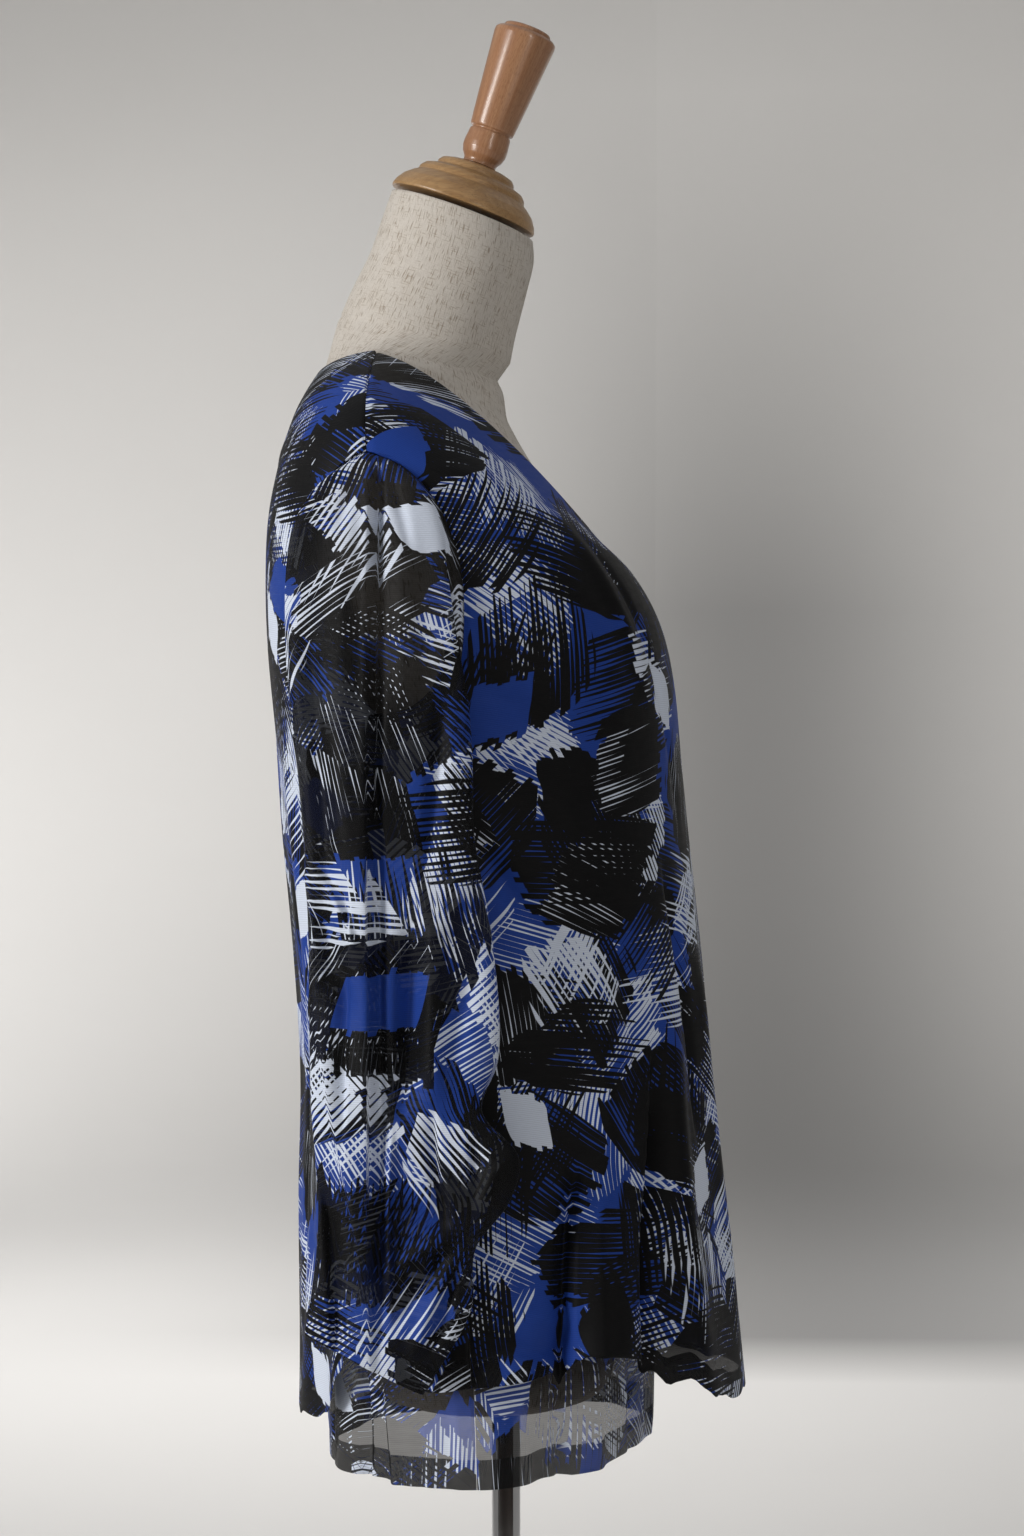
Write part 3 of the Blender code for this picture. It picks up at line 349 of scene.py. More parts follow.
SLEEVE_LEFT_FOLDS = (
    (((0.0800, 1.320), (0.0830, 1.180), (0.0880, 1.060), (0.0960, 0.930)), 0.0038, -0.0105, 0, 0.012),
    (((0.1040, 1.270), (0.1100, 1.150), (0.1180, 1.000)), 0.0150, 0.0040, 0, 0.000),
    (((0.0600, 1.240), (0.0560, 1.140), (0.0560, 1.040)), 0.0110, 0.0036, 0, 0.000),
    (((0.0740, 1.262), (0.0640, 1.236), (0.0540, 1.190)), 0.0042, -0.0026, 0, 0.000),
    (((0.0880, 1.264), (0.1000, 1.245), (0.1100, 1.205)), 0.0044, -0.0026, 0, 0.000),
    (((0.1000, 1.080), (0.1060, 0.930), (0.1160, 0.800), (0.1220, 0.600)), 0.0120, 0.0060, 1, 0.012),
    (((0.0640, 0.960), (0.0700, 0.880), (0.0780, 0.800)), 0.0075, -0.0060, 0, 0.000),
    (((0.0480, 1.000), (0.0520, 0.880), (0.0600, 0.760)), 0.0100, 0.0040, 0, 0.000),
    (((0.1560, 0.920), (0.1420, 0.830), (0.1300, 0.740), (0.1260, 0.660)), 0.0090, -0.0056, 0, 0.000),
    (((0.1600, 0.820), (0.1500, 0.740), (0.1460, 0.640)), 0.0090, 0.0044, 0, 0.000),
    (((0.0280, 1.080), (0.0420, 1.040), (0.0620, 1.010)), 0.0080, -0.0030, 0, 0.000),
    (((0.0260, 1.020), (0.0440, 0.970), (0.0600, 0.940)), 0.0080, 0.0028, 0, 0.000),
    (((0.0420, 0.840), (0.0560, 0.790), (0.0760, 0.750)), 0.0070, -0.0034, 0, 0.000),
    (((0.0600, 0.760), (0.0740, 0.710), (0.0880, 0.640)), 0.0080, 0.0036, 0, 0.000),
    (((0.0950, 0.780), (0.0990, 0.720), (0.1010, 0.640)), 0.0060, -0.0040, 0, 0.000),
)
# On a sleeve's inner face, against the body
SLEEVE_INNER_FOLDS = (
    (((0.0700, 1.080), (0.0720, 0.900), (0.0760, 0.620)), 0.0100, -0.0040, 0, 0.000),
    (((0.1000, 1.020), (0.1000, 0.860), (0.1040, 0.700)), 0.0090, 0.0024, 0, 0.000),
    (((0.0460, 1.000), (0.0480, 0.880), (0.0540, 0.720)), 0.0090, 0.0024, 0, 0.000),
)


# ---------------------------------------------------------------- geometry


def smooth(x):
    x = np.clip(x, 0.0, 1.0)
    return x * x * (3 - 2 * x)


def spline(xs, ys, x):
    """Smooth curve through (xs, ys), with end values held."""
    xs, ys = np.asarray(xs, float), np.asarray(ys, float)
    x = np.clip(x, xs[0], xs[-1])
    h = np.diff(xs)
    d = np.diff(ys) / h
    m = np.empty_like(ys)
    m[1:-1] = (d[:-1] * h[1:] + d[1:] * h[:-1]) / (h[:-1] + h[1:])
    m[0], m[-1] = d[0], d[-1]
    i = np.clip(np.searchsorted(xs, x, side="right") - 1, 0, len(h) - 1)
    t = (x - xs[i]) / h[i]
    return (
        ys[i] * (2 * t**3 - 3 * t**2 + 1)
        + m[i] * h[i] * (t**3 - 2 * t**2 + t)
        + ys[i + 1] * (3 * t**2 - 2 * t**3)
        + m[i + 1] * h[i] * (t**3 - t**2)
    )


def column(table, columns, name):
    return [row[columns.index(name)] for row in table]


def station(table, k, names):
    ks = column(table, BODY_COLUMNS, "k")
    return [spline(ks, column(table, BODY_COLUMNS, n), k) for n in names]


def ring_point(table, angle, k):
    """Point of a body surface at an angle in degrees and a station."""
    angle = np.asarray(angle, float)
    k = np.asarray(k, float) + 0 * angle
    fy, fz, sx, sy, sz, by, bz, nf, nb = station(table, k, BODY_COLUMNS[1:])
    c, s = np.cos(np.radians(angle)), np.sin(np.radians(angle))
    front = c >= 0
    n = np.where(front, nf, nb)
    cy = np.abs(c) ** (2 / n)
    x = sx * np.sign(s) * np.abs(s) ** (2 / n)
    y = np.where(front, sy + (fy - sy) * cy, sy + (by - sy) * cy)
    z = sz + np.where(front, fz - sz, bz - sz) * cy**1.35
    return np.stack([x, y, z], -1)


def flute_shift(flutes, angle, z, hem_z):
    total = 0.0
    for centre, half, depth, top, lean in flutes:
        fall = np.clip((top - z) / (top - hem_z), 0.0, 1.3)
        here = centre + lean * fall
        away = (angle - here + 180) % 360 - 180
        total = total + depth * smooth(fall) * np.exp(-((away / (half * (0.7 + 0.4 * fall))) ** 2))
    return total


def normals(point, angle, k):
    """Outward normal of a surface function of (angle, k)."""
    da, dk = 0.05, 0.01
    k = np.clip(k, 3 * dk, HEM_STATION - 3 * dk)
    along = point(angle + da, k) - point(angle - da, k)
    down = point(angle, k + dk) - point(angle, k - dk)
    n = np.cross(down, along)
    return n / np.linalg.norm(n, axis=-1, keepdims=True)


def outer_plain(angle, k):
    return ring_point(OUTER, angle, k)


def layered(table, gap, first, last, angle, k):
    """The outer face moved inwards by a gap at the shoulders, turning into the table's own shape lower down."""
    k = np.asarray(k, float)
    gap = gap + 0 * (k + angle)
    top = outer_plain(angle, k) - normals(outer_plain, angle, k) * gap[..., None]
    low = ring_point(table, angle, np.maximum(k, table[0][0]))
    w = smooth((k - first) / (last - first))[..., None]
    return top * (1 - w) + low * w


def under_plain(angle, k):
    return layered(UNDER, UNDER_GAP, 4.2, 6.4, angle, k)


def form(angle, k):
    gap = FORM_NECK_GAP + (FORM_GAP - FORM_NECK_GAP) * smooth((k - 0.15) / 0.55)
    p = layered(FORM, gap, 4.0, 6.2, angle, k)
    # Two soft bust swells
    z = p[..., 2]
    for side in (-1, 1):
        away = (angle - side * 34 + 180) % 360 - 180
        swell = 0.006 * np.exp(-((away / 17) ** 2) - (((z - 1.105) / 0.055) ** 2))
        p[..., 1] -= swell
    return p


def armhole_cut(k, most, top=SHOULDER_STATION, bottom=UNDERARM_STATION):
    """Degrees that an armhole takes from a panel's side edge at station k."""
    t = np.clip((k - top) / (bottom - top), 0.0, 1.0)
    return most * np.sqrt(4 * t * (1 - t))


def outer_hem_z(angle):
    a = (np.asarray(angle, float) + 180) % 360 - 180
    angles = column(OUTER_HEM, HEM_COLUMNS, "angle")
    right = spline(angles, column(OUTER_HEM, HEM_COLUMNS, "right_z"), np.abs(a))
    left = spline(angles, column(OUTER_HEM, HEM_COLUMNS, "left_z"), np.abs(a))
    return np.where(a < 0, right, left)


def outer_hem_station(angle):
    """Station at which the outer layer reaches its hem's height, small waves and all."""
    low, high = np.full_like(angle, 10.0), np.full_like(angle, HEM_STATION)
    target = outer_hem_z(angle)
    for place, half, rise in HEM_WAVES:
        away = (angle - place + 180) % 360 - 180
        target = target + rise * np.exp(-((away / half) ** 2))
    for _ in range(24):
        middle = (low + high) / 2
        deeper = outer_plain(angle, middle)[..., 2] > target
        low, high = np.where(deeper, middle, low), np.where(deeper, high, middle)
    return (low + high) / 2


def arm_rows(count_above, count_below, top, bottom, first, last, steps):
    """Stations down a side edge: above, through and below its armhole."""
    arm = [top + (bottom - top) * (1 - math.cos(math.pi * i / steps)) / 2 for i in range(steps + 1)]
    above = [first + (top - first) * i / count_above for i in range(count_above)]
    below = [bottom + (last - bottom) * i / count_below for i in range(1, count_below + 1)]
    return np.array(above + arm + below)


def curve_through(places, count=14):
    """Points of a smooth line through two or more places."""
    places = np.asarray(places, float)
    at = np.arange(len(places))
    t = np.linspace(0, len(places) - 1, count)
    return np.stack([spline(at, places[:, 0], t), spline(at, places[:, 1], t)], -1)


def fold_shift(folds, s, z, scale, period=None):
    """Height of all the folds over the cloth at (s, z), and how far their tucks move the print.

    scale turns a place's first number into metres; period is that number's full turn, if it has one.
    """
    height, slide = np.zeros_like(s), np.zeros_like(s)
    for places, width, depth, side, tuck in folds:
        line = curve_through(places)
        middle = line[:, 0].mean()
        away = s - middle
        if period:
            away = (away + period / 2) % period - period / 2
        x, y = away * scale, z
        lx, ly = (line[:, 0] - middle) * scale, line[:, 1]
        near = (
            (x > lx.min() - 4 * width) & (x < lx.max() + 4 * width)
            & (y > ly.min() - 4 * width) & (y < ly.max() + 4 * width)
        )
        if tuck:
            near = (y > ly.min() - 4 * width) & (y < ly.max() + 4 * width) & (np.abs(x) < 0.30)
        if not near.any():
            continue
        px, py = x[near], y[near]
        best = np.full(px.shape, 1e9)
        at, signed = np.zeros_like(px), np.zeros_like(px)
        for i in range(len(lx) - 1):
            dx, dy = lx[i + 1] - lx[i], ly[i + 1] - ly[i]
            t = np.clip(((px - lx[i]) * dx + (py - ly[i]) * dy) / (dx * dx + dy * dy), 0, 1)
            ex, ey = px - lx[i] - t * dx, py - ly[i] - t * dy
            d = np.hypot(ex, ey)
            closer = d < best
            best = np.where(closer, d, best)
            at = np.where(closer, (i + t) / (len(lx) - 1), at)
            signed = np.where(closer, np.where(ex * dy - ey * dx >= 0, d, -d), signed)
        fade = smooth(at / 0.30) * smooth((1 - at) / 0.30)
        if side:
            steep = np.where(signed * side > 0, 0.30, 1.15)
            bump = np.exp(-((signed / (width * steep)) ** 2))
        else:
            bump = np.exp(-((signed / width) ** 2))
        height[near] += depth * fade * bump
        if tuck:
            slide[near] += tuck * fade * (smooth(signed / 0.0024 + 0.5) - 0.5) * np.exp(-((signed / 0.10) ** 2))
    return height, slide


def edge_dip(distance, depth=0.0009, width=0.0022):
    """A seam's soft trough, at a distance in metres from the cloth's edge."""
    return -depth * np.exp(-((distance / width) ** 2))


def chain(diagonal, lower):
    """A solver for a symmetric system whose blocks couple only to their neighbours."""
    inverse, carry = [], [None]
    for i, block in enumerate(diagonal):
        if i:
            carry.append(lower[i] @ inverse[-1])
            block = block - carry[-1] @ lower[i].T
        inverse.append(np.linalg.inv(block))

    def solve(right):
        y = [right[0]]
        for i in range(1, len(right)):
            y.append(right[i] - carry[i] @ y[-1])
        x = [inverse[-1] @ y[-1]]
        for i in range(len(right) - 2, -1, -1):
            x.append(inverse[i] @ (y[i] - lower[i + 1].T @ x[-1]))
        return np.array(x[::-1])

    return solve


def flattened(p, firm=None, rounds=60):
    """The flat cut of a grid of cloth: coordinates in metres that keep each small piece of it in shape.

    The middle column runs down along v. firm is how much each place counts.
    """
    r, c = p.shape[:2]
    index = np.arange(r * c).reshape(r, c)
    corners = np.concatenate([
        np.stack([index[:-1, :-1], index[:-1, 1:], index[1:, :-1]], -1).reshape(-1, 3),
        np.stack([index[1:, 1:], index[1:, :-1], index[:-1, 1:]], -1).reshape(-1, 3),
    ])
    x = p.reshape(-1, 3)
    e1, e2 = x[corners[:, 1]] - x[corners[:, 0]], x[corners[:, 2]] - x[corners[:, 0]]
    width = np.maximum(np.linalg.norm(e1, axis=1), 1e-6)
    height = np.maximum(np.linalg.norm(np.cross(e1, e2), axis=1) / width, 1e-6)
    own = np.zeros((len(corners), 3, 2))
    own[:, 1, 0] = width
    own[:, 2, 0] = (e1 * e2).sum(-1) / width
    own[:, 2, 1] = height
    share = np.ones(len(corners)) if firm is None else firm.reshape(-1)[corners].mean(axis=1)
    blocks = np.zeros((r, 3, c, c))
    edges = []
    for i, j, o in ((0, 1, 2), (1, 2, 0), (2, 0, 1)):
        a, b = own[:, i] - own[:, o], own[:, j] - own[:, o]
        w = (a * b).sum(-1) / np.maximum(np.abs(a[:, 0] * b[:, 1] - a[:, 1] * b[:, 0]), 1e-12)
        w = np.clip(w, 0.05, 20.0) * share
        ti, tj = corners[:, i], corners[:, j]
        for s, t, sign in ((ti, ti, 1), (tj, tj, 1), (ti, tj, -1), (tj, ti, -1)):
            np.add.at(blocks, (s // c, t // c - s // c + 1, s % c, t % c), sign * w)
        edges.append((ti, tj, w, own[:, i] - own[:, j]))
    mr, mc = r // 2, c // 2
    middle = index[mr, mc]
    blocks[mr, 1, mc, mc] += 1.0
    solve = chain(blocks[:, 1], blocks[:, 0])
    u = np.concatenate([np.zeros((r, 1)), np.cumsum(np.linalg.norm(np.diff(p, axis=1), axis=2), axis=1)], axis=1)
    u -= u[:, mc][:, None]
    v = np.concatenate([[0], np.cumsum(np.linalg.norm(np.diff(p[:, mc], axis=0), axis=1))])[:, None] + 0 * u
    flat = np.stack([u, v], -1).reshape(-1, 2)
    for _ in range(rounds):
        cosine, sine = np.zeros(len(corners)), np.zeros(len(corners))
        for ti, tj, w, q in edges:
            f = flat[ti] - flat[tj]
            cosine += w * (f * q).sum(-1)
            sine += w * (f[:, 1] * q[:, 0] - f[:, 0] * q[:, 1])
        length = np.maximum(np.hypot(cosine, sine), 1e-12)
        cosine, sine = cosine / length, sine / length
        right = np.zeros_like(flat)
        right[middle] += flat[middle]
        for ti, tj, w, q in edges:
            turned_q = np.stack([cosine * q[:, 0] - sine * q[:, 1], sine * q[:, 0] + cosine * q[:, 1]], -1) * w[:, None]
            np.add.at(right, ti, turned_q)
            np.add.at(right, tj, -turned_q)
        flat = solve(right.reshape(r, c, 2)).reshape(-1, 2)
    flat = flat.reshape(r, c, 2)
    flat = flat - flat[mr, mc]
    down = flat[-1, mc] - flat[0, mc]
    down /= np.linalg.norm(down)
    return np.stack([flat[..., 0] * down[1] - flat[..., 1] * down[0], flat[..., 0] * down[0] + flat[..., 1] * down[1]], -1)


def looked_up(grid, row, col):
    """Smooth values of a grid between its places, at fractional rows and columns."""
    r, c = grid.shape[:2]
    grid = np.concatenate([2 * grid[:1] - grid[1:2], grid, 2 * grid[-1:] - grid[-2:-1]])
    grid = np.concatenate([2 * grid[:, :1] - grid[:, 1:2], grid, 2 * grid[:, -1:] - grid[:, -2:-1]], axis=1)

    def weights(f):
        return ((-f + 2 * f**2 - f**3) / 2, (2 - 5 * f**2 + 3 * f**3) / 2, (f + 4 * f**2 - 3 * f**3) / 2, (f**3 - f**2) / 2)

    ri, ci = np.clip(np.floor(row), 0, r - 2).astype(int), np.clip(np.floor(col), 0, c - 2).astype(int)
    total = 0.0
    for i, wr in enumerate(weights(np.clip(row - ri, 0, 1))):
        for j, wc in enumerate(weights(np.clip(col - ci, 0, 1))):
            total = total + grid[ri + i, ci + j] * (wr * wc)[..., None]
    return total


def cut_of(points, flat):
    """A cut's width, length and area."""
    size = np.ptp(flat.reshape(-1, 2), axis=0)
    a, b = points[1:, 1:] - points[:-1, :-1], points[1:, :-1] - points[:-1, 1:]
    return float(size[0]), float(size[1]), float(np.linalg.norm(np.cross(a, b), axis=-1).sum() / 2)


def cloth_object(name, points, flat, veil, flip=False):
    """A grid of cloth with its flat coordinates as a UV map, and how sheer it is as an attribute.

    Where only some of it is sheer, those faces take the second material.
    """
    rows, columns, _ = points.shape
    index = np.arange(rows * columns).reshape(rows, columns)
    quads = np.stack([index[:-1, :-1], index[1:, :-1], index[1:, 1:], index[:-1, 1:]], -1).reshape(-1, 4)
    if flip:
        quads = quads[:, ::-1]
    veil = (veil + 0 * points[..., 0]).reshape(-1)
    mesh = bpy.data.meshes.new(name)
    mesh.vertices.add(rows * columns)
    mesh.vertices.foreach_set("co", points.reshape(-1).astype(np.float32))
    mesh.loops.add(quads.size)
    mesh.loops.foreach_set("vertex_index", quads.reshape(-1).astype(np.int32))
    mesh.polygons.add(len(quads))
    mesh.polygons.foreach_set("loop_start", np.arange(0, quads.size, 4, dtype=np.int32))
    mesh.update(calc_edges=True)
    layer = mesh.uv_layers.new(name="flat")
    layer.uv.foreach_set("vector", flat.reshape(-1, 2)[quads.reshape(-1)].reshape(-1).astype(np.float32))
    sheer = mesh.attributes.new("veil", "FLOAT", "POINT")
    sheer.data.foreach_set("value", veil.astype(np.float32))
    thin = veil[quads].max(axis=1) > 0.001
    if thin.any() and not thin.all():
        mesh.polygons.foreach_set("material_index", thin.astype(np.int32))
    mesh.validate()
    mesh.shade_smooth()
    obj = bpy.data.objects.new(name, mesh)
    bpy.context.scene.collection.objects.link(obj)
    return obj


def turned_edge(points, flat, veil, inward, depth, count=7, at_end=True):
    """The grid with its last (or first) rows carried on behind it, as a hem turned to the inside."""
    if not at_end:
        points, flat, veil, inward = points[::-1], flat[::-1], veil[::-1], inward[::-1]
    away = flat[-1, :, 1][None, :] - flat[:, :, 1]
    away = np.abs(away)
    rows = []
    for i in range(count + 1):
        back = depth * i / count
        # The place on the cloth this far from its edge, column by column
        at = np.array([np.interp(back, away[::-1, j], np.arange(len(away))[::-1]) for j in range(away.shape[1])])
        lo = np.clip(np.floor(at).astype(int), 0, len(away) - 2)
        f = (at - lo)[:, None]
        cols = np.arange(away.shape[1])
        p = points[lo, cols] * (1 - f) + points[lo + 1, cols] * f
        n = inward[lo, cols] * (1 - f) + inward[lo + 1, cols] * f
        v = veil[lo, cols] * (1 - f[:, 0]) + veil[lo + 1, cols] * f[:, 0]
        lift = PLY * (1.0 if i else 0.55)
        q = p + n * lift
        if i == 0:
            beyond = points[-1] - points[-2]
            beyond /= np.maximum(np.linalg.norm(beyond, axis=-1, keepdims=True), 1e-9)
            q = q + beyond * PLY * 0.5
        w = flat[-1].copy()
        sign = np.sign(flat[-1, :, 1] - flat[-2, :, 1])
        w[:, 1] += sign * (back + 0.0005)
        rows.append((q, w, v))
    points = np.concatenate([points, [r[0] for r in rows]])
    flat = np.concatenate([flat, [r[1] for r in rows]])
    veil = np.concatenate([veil, [r[2] for r in rows]])
    if not at_end:
        points, flat, veil = points[::-1], flat[::-1], veil[::-1]
    return points, flat, veil


def finish_piece(obj, node, slot, *mats):
    for mat in mats:
        obj.data.materials.append(mat)
    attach(obj, "root")
    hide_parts(node)
    return obj


def body_surface(plain, flutes, hem_z, folds):
    """A surface function of (angle, k) with its flutes and folds, which also gives the print's slide."""

    def surface(angle, k):
        p = plain(angle, k)
        n = normals(plain, angle, k)
        z = p[..., 2]
        height, slide = fold_shift(folds, angle + 0 * z, z, math.radians(1) * AROUND, 360.0)
        height = height + flute_shift(flutes, angle, z, hem_z)
        return p + n * height[..., None], slide, n

    return surface


outer_surface = body_surface(outer_plain, OUTER_FLUTES, 0.61, OUTER_FOLDS)
under_surface = body_surface(under_plain, UNDER_FLUTES, 0.575, UNDER_FOLDS)


def panel(name, node, plain, surface, centre, top, hem, rows, columns, cut, arm, turn, sheer, mats, slot, neck):
    """A front or back from side seam to side seam, with its neckline and hem turned in, and its cut's size."""
    fall = (rows - rows[0]) / (rows[-1] - rows[0])
    u = np.sin(np.linspace(-1, 1, columns) * math.pi / 2 * 0.92) / math.sin(math.pi / 2 * 0.92)
    start = top(u)
    last = np.full(columns, HEM_STATION)
    for _ in range(6):
        k = start[None, :] + (last - start)[None, :] * fall[:, None]
        edge = 90.0 - EDGE_ANGLE - armhole_cut(k, cut, *arm)
        angle = centre + u[None, :] * edge
        last = hem(angle[-1])
    points, slide, n = surface(angle, k)
    # The whole front or back is flattened over even angles and stations, then read where the cloth is
    wide, tall = np.linspace(-90, 90, FLAT_COLUMNS), np.linspace(rows[0], HEM_STATION, FLAT_ROWS)
    held = (tall[:, None] > np.interp(wide / 90, u, start)[None, :] - 0.3) & (
        np.abs(wide)[None, :] < 92.0 - armhole_cut(tall[:, None], cut, *arm)
    )
    whole = flattened(plain(centre + wide[None, :], tall[:, None] + 0 * wide[None, :]), np.where(held, 1.0, 0.05))
    row = (k - tall[0]) / (tall[1] - tall[0])
    col = (angle - centre + 90) / (wide[1] - wide[0])
    flat = looked_up(whole, row, col)
    cut_size = cut_of(plain(angle, k), flat)
    flat[..., 0] += slide
    # Seams sink a little where the pieces join
    to_edge = (1 - np.abs(u))[None, :] * edge * math.radians(1) * 0.18
    points = points + n * edge_dip(to_edge)[..., None]
    veil = sheer(points[..., 2])
    points, flat, veil = turned_edge(points, flat, veil, -n, turn)
    if neck:
        inner = np.concatenate([-n, np.repeat(-n[-1:], len(points) - len(n), axis=0)])
        points, flat, veil = turned_edge(points, flat, veil, inner, neck, at_end=False, count=4)
    obj = cloth_object(name, points, flat, veil, flip=True)
    return finish_piece(obj, node, slot, *mats), cut_size


def v_neck(u):
    bend = 1 - np.sqrt(u**2 + 0.06**2) + 0.06 * u**2
    bend = np.clip(bend, 0, None) ** 1.1
    bend = bend / bend.max()
    bend[0] = bend[-1] = 0.0
    return HPS_STATION + (VNECK_STATION - HPS_STATION) * bend


def back_neck(u):
    return HPS_STATION + (BACKNECK_STATION - HPS_STATION) * np.cos(u * math.pi / 2) ** 2


def under_neck_front(u):
    first = HPS_STATION + UNDER_TOP
    return first + (VNECK_STATION + UNDER_TOP - first) * (1 - np.abs(u)) ** 1.15


def under_neck_back(u):
    first = HPS_STATION + UNDER_TOP
    return first + (BACKNECK_STATION + UNDER_TOP - first) * np.cos(u * math.pi / 2) ** 2


def outer_sheer(z):
    return 0.14 * smooth((0.690 - z) / 0.045)


def under_sheer(z):
    return 0.52 * smooth((0.730 - z) / 0.045)


def armhole_loop(side, at):
    """The armhole's edge from the shoulder down the front and up the back, with the body's normals there."""
    arm = arm_rows(1, 1, SHOULDER_STATION, UNDERARM_STATION, 0, HEM_STATION, 60)[1:-1]
    front_angle = side * (90.0 - armhole_cut(arm, ARM_FRONT_CUT))
    back_angle = side * (90.0 + armhole_cut(arm, ARM_BACK_CUT))
    front, _, nf = outer_surface(front_angle, arm)
    back, _, nb = outer_surface(back_angle, arm)
    loop = np.concatenate([front, back[::-1][1:]])
    n = np.concatenate([nf, nb[::-1][1:]])
    t = np.linspace(0, 1, len(loop))
    both =[np.stack([np.interp(at, t, m[:, i]) for i in range(3)], -1) for m in (loop, n)]
    return both[0], both[1] / np.linalg.norm(both[1], axis=1, keepdims=True)


def sleeve(name, node, side, table, folds, sheer, mats, slot, rows=229, columns=361):
    """A flattened tube from the armhole to its hem, open along its underarm seam, and its cut's size."""
    # Columns stand evenly round a ring of the usual size
    fine = np.linspace(0, 2 * math.pi, 4001)
    c, s = np.cos(fine), np.sin(fine)
    ring = np.stack([0.012 * np.sign(c) * np.abs(c) ** 0.62, 0.055 * np.sign(s) * np.abs(s) ** 0.80], -1)
    round_ = np.concatenate([[0], np.cumsum(np.linalg.norm(np.diff(ring, axis=0), axis=1))])
    turn = np.interp(np.linspace(0, round_[-1], columns), round_, fine)
    loop, n = armhole_loop(side, turn / (2 * math.pi))
    middle = loop[:-1].mean(axis=0)
    inward = middle - loop
    inward -= n * (inward * n).sum(-1, keepdims=True)
    inward /= np.linalg.norm(inward, axis=1, keepdims=True)
    head = [
        loop - inward * 0.0040 - n * 0.0034,
        loop - inward * 0.0010 - n * 0.0031,
        loop + inward * 0.0010 - n * 0.0017,
        loop + inward * 0.0026 + n * 0.0012,
    ]
    c, s = np.cos(turn), np.sin(turn)
    depth = np.sign(c) * np.abs(c) ** 0.62
    across = np.sign(s) * np.abs(s) ** 0.80
    rings = list(head)
    for z, tilt, dip, xo, xi, yb, yf in table:
        y = (yb + yf) / 2 - (yb - yf) / 2 * across
        x = (xo + xi) / 2 + (xo - xi) / 2 * depth
        rings.append(np.stack([side * x, y, z + tilt * depth - dip * across / 2], -1))
    rings = np.array(rings)
    rings[len(head)] = rings[len(head)] * 0.8 + rings[len(head) - 1] * 0.2
    gap = np.linalg.norm(np.diff(rings, axis=0), axis=2).mean(axis=1)
    at = np.concatenate([[0], np.cumsum(gap)])
    t = np.concatenate([at[: len(head)], np.linspace(at[len(head) - 1], at[-1], rows)[1:]])
    points = np.empty((len(t), columns, 3))
    for j in range(columns):
        for axis in range(3):
            points[:, j, axis] = spline(at, rings[:, j, axis], t)
    order = np.concatenate([np.arange(columns // 2, columns - 1), np.arange(0, columns // 2 + 1)])
    points = points[:, order]
    depth, turn = depth[order], turn[order]
    # Outward normals of the tube
    down = np.gradient(points, axis=0)
    along = np.gradient(points, axis=1)
    n = np.cross(along, down) * side
    n /= np.maximum(np.linalg.norm(n, axis=-1, keepdims=True), 1e-9)
    outside = smooth((depth[None, :] + 0.25) / 0.5)
    below = smooth((t - t[len(head) - 1]) / 0.030)[:, None]
    y, z = points[..., 1], points[..., 2]
    height, slide = fold_shift(folds, y, z, 1.0)
    inner, _ = fold_shift(SLEEVE_INNER_FOLDS, y, z, 1.0)
    lift = (height * outside + inner * (1 - outside)) * below
    smooth_points = points
    points = points + n * lift[..., None]
    pick_r, pick_c = np.arange(len(t))[::7], np.arange(columns)[::6]
    whole = flattened(smooth_points[np.ix_(pick_r, pick_c)])
    row, col = np.meshgrid(np.arange(len(t)) / 7, np.arange(columns) / 6, indexing="ij")
    flat = looked_up(whole, row, col)
    cut_size = cut_of(smooth_points, flat)
    flat[..., 0] = side * flat[..., 0] + slide * outside
    veil = sheer + 0 * y
    points, flat, veil = turned_edge(points, flat, veil, -n, SLEEVE_TURN)
    obj = cloth_object(name, points, flat, veil, flip=side < 0)
    return finish_piece(obj, node, slot, *mats), cut_size


# ---------------------------------------------------------------- dress form


